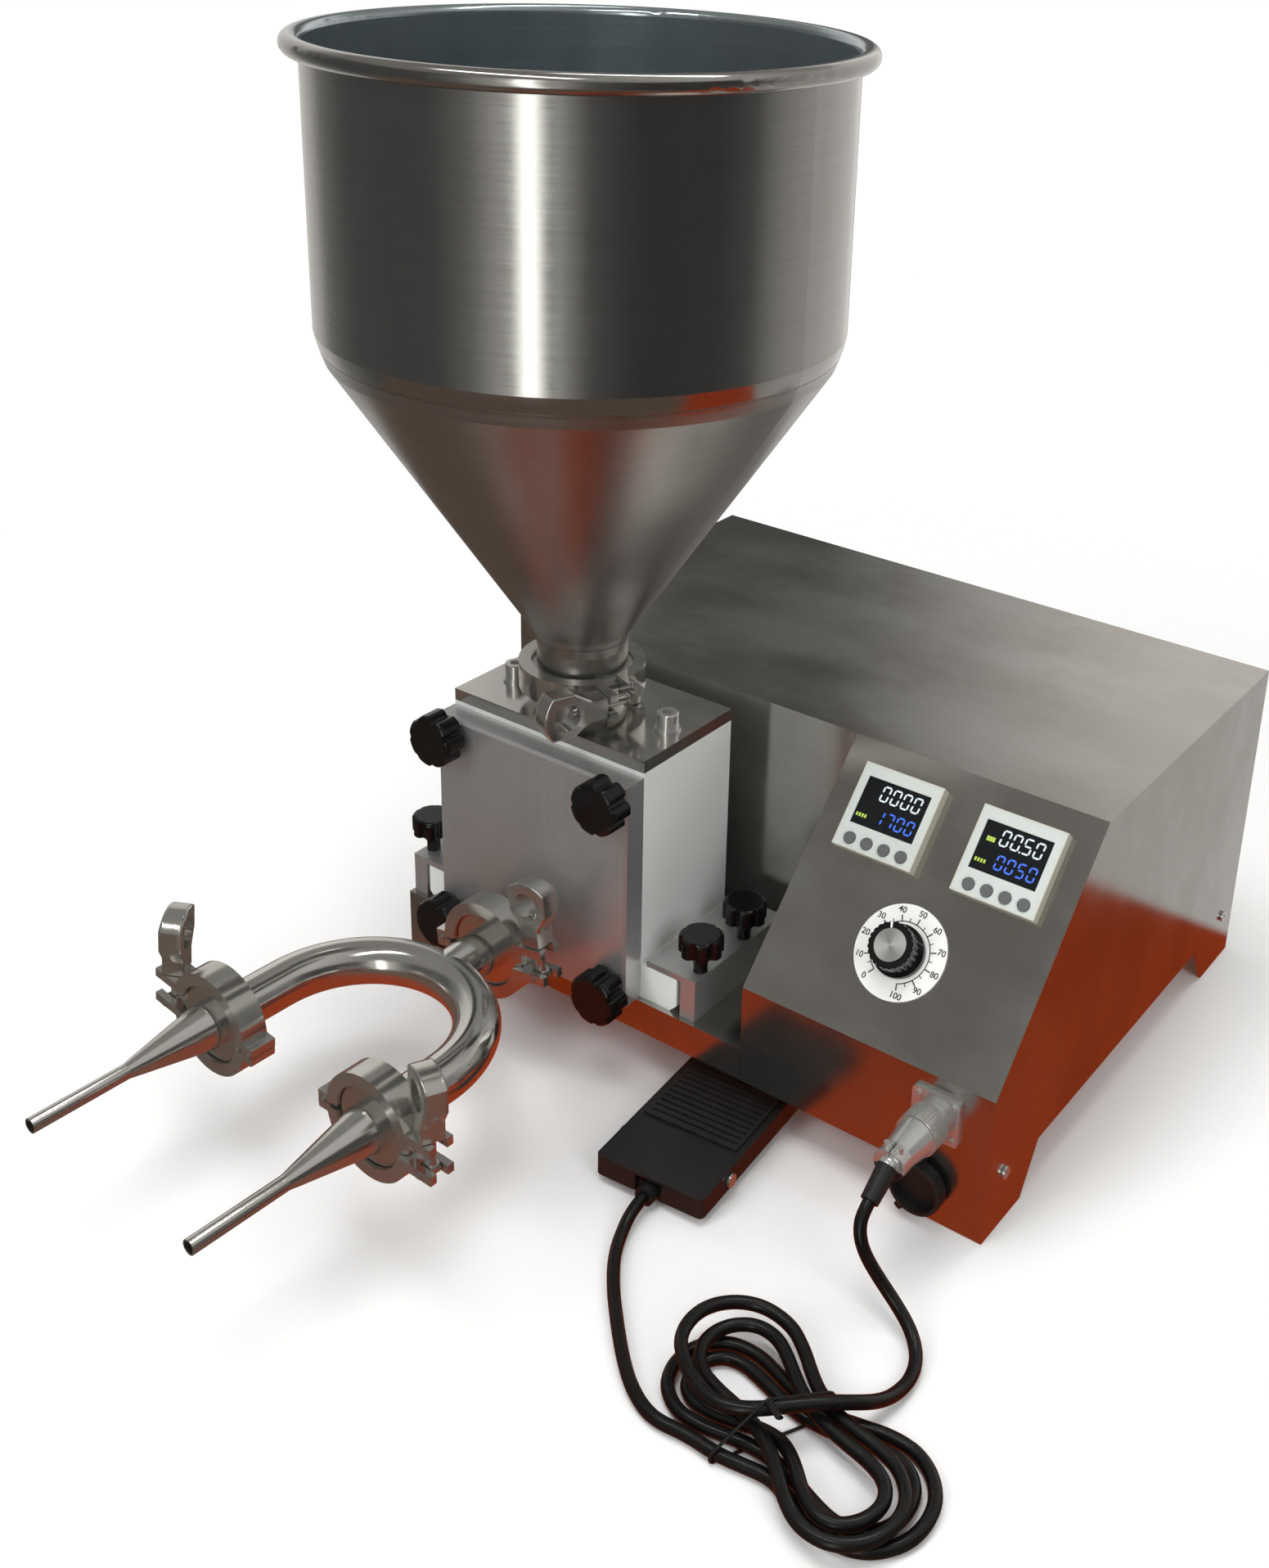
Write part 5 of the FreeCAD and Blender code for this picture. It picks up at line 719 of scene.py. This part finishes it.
case_look, case_tree, case_surface = start_material("timer_case", (0.50, 0.49, 0.41), 0.42)
case_grain = noise(case_tree, place_in(case_tree), 900.0, 2.0)
case_tree.feed(case_surface.inputs["Roughness"], case_grain * 0.12 + 0.36)
case_facing = along(case_tree, case_tree.node("ShaderNodeNewGeometry", out=1), panel_out)
cream_clouds = noise(case_tree, place_in(case_tree), 50.0)
case_cream = mixed(case_tree, cream_clouds, (0.50, 0.485, 0.40), (0.58, 0.565, 0.47))
grey_clouds = noise(case_tree, place_in(case_tree), 40.0)
case_grey = mixed(case_tree, grey_clouds, (0.50, 0.54, 0.515), (0.57, 0.605, 0.58))
case_front = step_up(case_tree, case_facing, 0.90, 0.97)
case_tree.feed(case_surface.inputs["Base Color"], mixed(case_tree, case_front, case_cream, case_grey))
bumped(case_tree, case_surface, case_grain, 0.02, 0.4)
rim_look = plain_look("timer_rim", (0.58, 0.565, 0.47), 0.0, 900.0, 0.32, 0.12, 2.0)
window_look = plain_look("display_window", (0.006, 0.007, 0.009), 0.0, 80.0, 0.07, 0.1)
button_look = plain_look("button_grey", (0.10, 0.105, 0.105), 0.0, 700.0, 0.36, 0.15)
timer_size = 48.0
timer_v = 14.0
timer_bezel = 7.0
window_box = (4.8, 7.0, 38.2, 27.0)
dress(case_look, "left_timer", "right_timer")
dress(button_look, *[name for name in nodes if "timer_button" in name])


def glow_look(name, colour, strength):
    """A lit liquid crystal colour."""
    made, tree, surface = start_material(name, (0.02, 0.02, 0.02), 0.4)
    surface.inputs["Emission Strength"].default_value = strength
    shimmer = noise(tree, place_in(tree), 2500.0, 1.0)
    dim = tuple(c * 0.85 for c in colour)
    tree.feed(surface.inputs["Emission Color"], mixed(tree, shimmer, dim, colour))
    return made


white_glow = glow_look("white_digits", (0.85, 0.95, 1.0), 1.0)
blue_glow = glow_look("blue_digits", (0.05, 0.18, 0.95), 1.1)
green_glow = glow_look("green_flags", (0.60, 0.85, 0.10), 0.9)
segments_lit = {"0": "abcdef", "1": "bc", "5": "acdfg", "7": "abc"}
bar_thick = 0.95
digit_lean = 0.08
digit_gap = 1.5
dot_size = 0.9


def digit_bars(character, u, v, wide, high):
    """Outlines of a seven-bar digit, leaning to the right."""
    half = high / 2
    gap = bar_thick * 0.12

    def leaned(points):
        return [(u + x + (high - y) * digit_lean, v + y) for x, y in points]

    def level_bar(y):
        t = bar_thick / 2
        return [(t + gap, y), (2 * t + gap, y - t), (wide - 2 * t - gap, y - t), (wide - t - gap, y),
                (wide - 2 * t - gap, y + t), (2 * t + gap, y + t)]

    def upright_bar(x, y0, y1):
        t = bar_thick / 2
        return [(x, y0 + t + gap), (x + t, y0 + 2 * t + gap), (x + t, y1 - 2 * t - gap), (x, y1 - t - gap),
                (x - t, y1 - 2 * t - gap), (x - t, y0 + 2 * t + gap)]

    inset = bar_thick / 2
    bars = {"a": level_bar(inset), "g": level_bar(half), "d": level_bar(high - inset),
            "f": upright_bar(inset, 0, half), "b": upright_bar(wide - inset, 0, half),
            "e": upright_bar(inset, half, high), "c": upright_bar(wide - inset, half, high)}
    return [leaned(bars[name]) for name in segments_lit[character]]


def oblong(left, top, right, low):
    """The outline of an upright oblong on the panel."""
    return [(left, top), (right, top), (right, low), (left, low)]


def timer_display(name, timer_u, upper, lower, flag):
    """The lit rows of one timer: white count above, blue set value below, small flags at the left."""
    low = timer_bezel - 0.2
    high = timer_bezel - 0.12
    rows = (("count", upper, 15.0, 9.4, 4.9, 9.0, white_glow),
            ("set", lower, 17.2, 22.6, 4.6, 8.2, blue_glow))
    for row, words, start, top, wide, tall, look in rows:
        outlines = []
        u = timer_u + start
        v = timer_v + top
        for character in words:
            if character == ".":
                outlines.append(oblong(u - dot_size, v + tall - dot_size, u, v + tall))
                continue
            outlines += digit_bars(character, u, v, wide, tall)
            u += wide + digit_gap
        plate_mesh(name + "_" + row, [(outline, low, high) for outline in outlines], look, "machine")
    flag_rows = [("small_marks", 4, 6.3, 1.7, 27.6, 1.1, 2.0)]
    if flag:
        flag_rows.append(("flag", 3, 8.2, 1.6, 15.2, 1.45, 2.6))
    for row, count, start, step, top, wide, tall in flag_rows:
        flags = []
        for i in range(count):
            u = timer_u + start + step * i
            v = timer_v + top
            flags.append((oblong(u, v, u + wide, v + tall), low, high))
        plate_mesh(name + "_" + row, flags, green_glow, "machine")


timer_us = {"left": -134.9, "right": -63.2}
timer_display("left_display", timer_us["left"], "0000", "1700", False)
timer_display("right_display", timer_us["right"], "00.50", "0050", True)
rim_wide = 1.1
rim_gap = 0.3
pane_gap = 0.1
for side, u in timer_us.items():
    du, dv, wide, tall = window_box
    pane = oblong(u + du + pane_gap, timer_v + dv + pane_gap, u + du + wide - pane_gap,
                  timer_v + dv + tall - pane_gap)
    plate_mesh(side + "_window", [(pane, timer_bezel - 1.0, timer_bezel - 0.19)], window_look, "machine")
    outer_right = u + timer_size
    outer_low = timer_v + timer_size
    bars = [(u, timer_v, outer_right, timer_v + rim_wide), (u, outer_low - rim_wide, outer_right, outer_low),
            (u, timer_v + rim_wide, u + rim_wide, outer_low - rim_wide),
            (outer_right - rim_wide, timer_v + rim_wide, outer_right, outer_low - rim_wide)]
    rim_bars = [(oblong(left + rim_gap, top + rim_gap, right - rim_gap, low - rim_gap), timer_bezel - 0.5,
                 timer_bezel + 0.2) for left, top, right, low in bars]
    plate_mesh(side + "_rim", rim_bars, rim_look, "machine")

# Dial. A white plastic disc printed with a black scale from 0 to 100, a fluted black knob with a white
# pointer line and a spun aluminium cap.
dial_u = -76.5
dial_v = 101.0
dial_thick = 1.0
dress(plain_look("dial_plastic", (0.80, 0.80, 0.78), 0.0, 300.0, 0.26, 0.12), "dial_plate")
ink_look = plain_look("scale_ink", (0.02, 0.02, 0.02), 0.0, 500.0, 0.4, 0.1)
zero_angle = 233.0
scale_sweep = -305.0
scale_in = 15.9
scale_out = 16.45
mark_in = 16.2
long_mark_out = 19.6
short_mark_out = 18.2
number_radius = 22.4
ink_low = dial_thick - 0.02
ink_high = dial_thick + 0.06


def round_place(radius, degrees):
    """U and V on the dial at a radius and an angle, counted from its right and up."""
    a = math.radians(degrees)
    return (dial_u + radius * math.cos(a), dial_v - radius * math.sin(a))


def ring_piece(inner, outer, first, last):
    """Outline of a short part of a ring on the dial, between two angles."""
    return [round_place(outer, first), round_place(outer, last), round_place(inner, last),
            round_place(inner, first)]


marks = []
ring_steps = 60
for i in range(ring_steps):
    first = zero_angle + scale_sweep * i / ring_steps
    last = zero_angle + scale_sweep * (i + 1) / ring_steps
    marks.append((ring_piece(scale_in, scale_out, first, last), ink_low, ink_high))
mark_steps = 20
for i in range(mark_steps + 1):
    angle = zero_angle + scale_sweep * i / mark_steps
    half_wide, mark_out = (1.1, long_mark_out) if i % 2 == 0 else (0.8, short_mark_out)
    marks.append((ring_piece(mark_in, mark_out, angle - half_wide, angle + half_wide), ink_low, ink_high))
plate_mesh("dial_scale", marks, ink_look, "machine")
number_high = 3.4
size_for_height = 1.35
facing_out = Matrix((Vector((1, 0, 0)), -panel_down, panel_out)).transposed().to_4x4()
for value in range(0, 101, 10):
    angle = zero_angle + scale_sweep * value / 100
    u, v = round_place(number_radius, angle)
    words = bpy.data.curves.new("dial_number_%d" % value, "FONT")
    words.body = str(value)
    words.size = number_high / 1000 * size_for_height
    words.align_x = "CENTER"
    words.align_y = "CENTER"
    words.extrude = 0.00003
    words.offset = 0.00007
    words.materials.append(ink_look)
    number = bpy.data.objects.new("dial_number_%d" % value, words)
    bpy.context.scene.collection.objects.link(number)
    number.matrix_world = Matrix.Translation(on_panel(u, v, dial_thick + 0.05)) @ facing_out
    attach(number, "machine")
knob_setting = 0.40
pointer_angle = zero_angle + scale_sweep * knob_setting
cap_look, cap_tree, cap_surface = start_material("spun_cap", (0.72, 0.72, 0.73), 0.22, 0.7)
cap_seat = seat_at(cap_tree, on_panel(dial_u, dial_v, 0))
cap_right = along(cap_tree, cap_seat, (1, 0, 0))
cap_up = along(cap_tree, cap_seat, -panel_down)
cap_round = cap_tree.math("ARCTAN2", cap_up, cap_right)
# Painted highlight: the cap's colour goes bright and dark round its middle, in two broad sectors with radial
# streaks, standing for the light on its spun finish.
painted_highlight_fan = cap_tree.node("ShaderNodeMath", {"operation": "SINE"}, {0: cap_round * 2.0 + 0.4})
cap_place = cap_tree.node("ShaderNodeCombineXYZ", {}, {0: cap_round * 9.0})
painted_highlight_streaks = noise(cap_tree, cap_place, 1.0, 4.0, 0.7)
painted_cap_highlight = painted_highlight_fan * 0.28 + painted_highlight_streaks * 0.5 + 0.22
cap_tree.feed(cap_surface.inputs["Roughness"], noise(cap_tree, place_in(cap_tree), 900.0) * 0.15 + 0.16)
cap_tree.feed(cap_surface.inputs["Base Color"],
              mixed(cap_tree, painted_cap_highlight, (0.28, 0.275, 0.27), (0.95, 0.94, 0.92)))
cap_top = 16.6
cap_radius = 8.7
cap_sides = 48
disc = [round_place(cap_radius, 360 * i / cap_sides) for i in range(cap_sides)]
plate_mesh("knob_cap", [(disc, cap_top - 0.1, cap_top + 0.15)], cap_look, "speed_knob")
line_look = plain_look("pointer_white", (0.8, 0.8, 0.8), 0.0, 500.0, 0.35, 0.1)
line_half_wide = 3
pointer_line = ring_piece(8.9, 12.2, pointer_angle - line_half_wide, pointer_angle + line_half_wide)
plate_mesh("pointer_line", [(pointer_line, 15.9, 16.12)], line_look, "speed_knob")

# Connector. The socket in the console, its knurled ring and the plug's shell are satin-nickel brass,
# turned. The boot on the cord and the dust cap that hangs beside it are soft black rubber.
nickel_colour = (0.76, 0.75, 0.73)
nickel_metal = 0.84
nickel_look = plain_look("satin_nickel", nickel_colour, nickel_metal, 500.0, 0.10, 0.14)
dress(nickel_look, "panel_socket", "coupling_ring")
plug_look, plug_tree, plug_surface = start_material("plug_with_boot", nickel_colour, 0.2, nickel_metal)
along_boot = along(plug_tree, seat_at(plug_tree, at(*boot_root)), droop_way)
boot_part = step_up(plug_tree, along_boot, 0.0004, 0.0006)
plug_wear = noise(plug_tree, place_in(plug_tree), 400.0)
plug_tree.feed(plug_surface.inputs["Base Color"],
               mixed(plug_tree, boot_part, nickel_colour, (0.012, 0.012, 0.012)))
plug_tree.feed(plug_surface.inputs["Metallic"], nickel_metal - boot_part * nickel_metal)
plug_tree.feed(plug_surface.inputs["Roughness"], plug_wear * 0.14 + boot_part * 0.25 + 0.10)
dress(plug_look, "cord_plug")
rubber_look, rubber_tree, rubber_surface = start_material("soft_rubber", (0.012, 0.012, 0.012), 0.5)
rubber_bloom = noise(rubber_tree, place_in(rubber_tree), 120.0)
rubber_tree.feed(rubber_surface.inputs["Roughness"], rubber_bloom * 0.2 + 0.36)
rubber_tree.feed(rubber_surface.inputs["Base Color"],
                 mixed(rubber_tree, rubber_bloom, (0.007, 0.007, 0.007), (0.017, 0.016, 0.015)))
dress(rubber_look, "dust_cap", "treadle_pad")

# Foot pedal. A pressed steel treadle and base in black paint with a soft sheen. A bright steel pin through
# both sides of the base carries the treadle.
paint_look, paint_tree, paint_surface = start_material("black_paint", (0.016, 0.015, 0.015), 0.42)
paint_grain = noise(paint_tree, place_in(paint_tree), 700.0, 2.0)
paint_dust = noise(paint_tree, place_in(paint_tree), 25.0)
paint_tree.feed(paint_surface.inputs["Roughness"], paint_grain * 0.14 + paint_dust * 0.12 + 0.30)
paint_tree.feed(paint_surface.inputs["Base Color"],
                mixed(paint_tree, paint_dust, (0.006, 0.006, 0.006), (0.015, 0.014, 0.013)))
bumped(paint_tree, paint_surface, paint_grain, 0.04, 0.5)
dress(paint_look, "pedal_treadle")
base_look, base_tree, base_surface = start_material("base_and_pin", (0.010, 0.010, 0.010), 0.38)
pedal_half = 32.5
pivot_dy = 27.0
pivot_z = 11.0
pedal_across = Vector((math.cos(pedal_yaw), math.sin(pedal_yaw), 0))
pin_seat = seat_at(base_tree, at(*on_pedal(0, pivot_dy, pivot_z)))
out_sideways = abs(along(base_tree, pin_seat, pedal_across))
pin_head = step_up(base_tree, out_sideways, (pedal_half + 0.35) / 1000, (pedal_half + 0.45) / 1000)
base_grain = noise(base_tree, place_in(base_tree), 700.0, 2.0)
base_tree.feed(base_surface.inputs["Base Color"],
               mixed(base_tree, pin_head, (0.010, 0.010, 0.010), (0.70, 0.69, 0.67)))
base_tree.feed(base_surface.inputs["Metallic"], pin_head * 0.9)
base_tree.feed(base_surface.inputs["Roughness"], base_grain * 0.14 + 0.34 - pin_head * 0.18)
bumped(base_tree, base_surface, base_grain, 0.04, 0.5)
dress(base_look, "pedal_base")

# Treadle spring. A cylindrical coil of steel wire stands on the base under the treadle, which presses it
# flatter on its way down.
spring_low, spring_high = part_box("pedal_spring")
spring_turns = 3
wire_radius = 0.5 / 1000
spring_middle = (spring_low + spring_high) / 2
spring_radius = (spring_high.x - spring_low.x) / 2 - wire_radius
spring_steps = spring_turns * 24
spring_rise = spring_high.z - spring_low.z - 2 * wire_radius
coil = []
for i in range(spring_steps + 1):
    a = 2 * math.pi * spring_turns * i / spring_steps
    coil.append((spring_middle.x + spring_radius * math.cos(a), spring_middle.y + spring_radius * math.sin(a),
                 spring_low.z + wire_radius + spring_rise * i / spring_steps))
coil_curve = bpy.data.curves.new("treadle_spring_line", "CURVE")
coil_curve.dimensions = "3D"
add_line(coil_curve, "POLY", coil)
coil_curve.bevel_depth = wire_radius
coil_curve.bevel_resolution = 2
coil_curve.use_fill_caps = True
coil_shape = bpy.data.objects.new("treadle_spring_line", coil_curve)
coil_mesh = bpy.data.meshes.new_from_object(coil_shape)
bpy.data.objects.remove(coil_shape)
coil_mesh.materials.clear()
coil_mesh.materials.append(turned_look)
treadle_spring = bpy.data.objects.new("treadle_spring", coil_mesh)
bpy.context.scene.collection.objects.link(treadle_spring)
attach(treadle_spring, "machine")
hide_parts("pedal_spring")
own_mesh(treadle_spring)
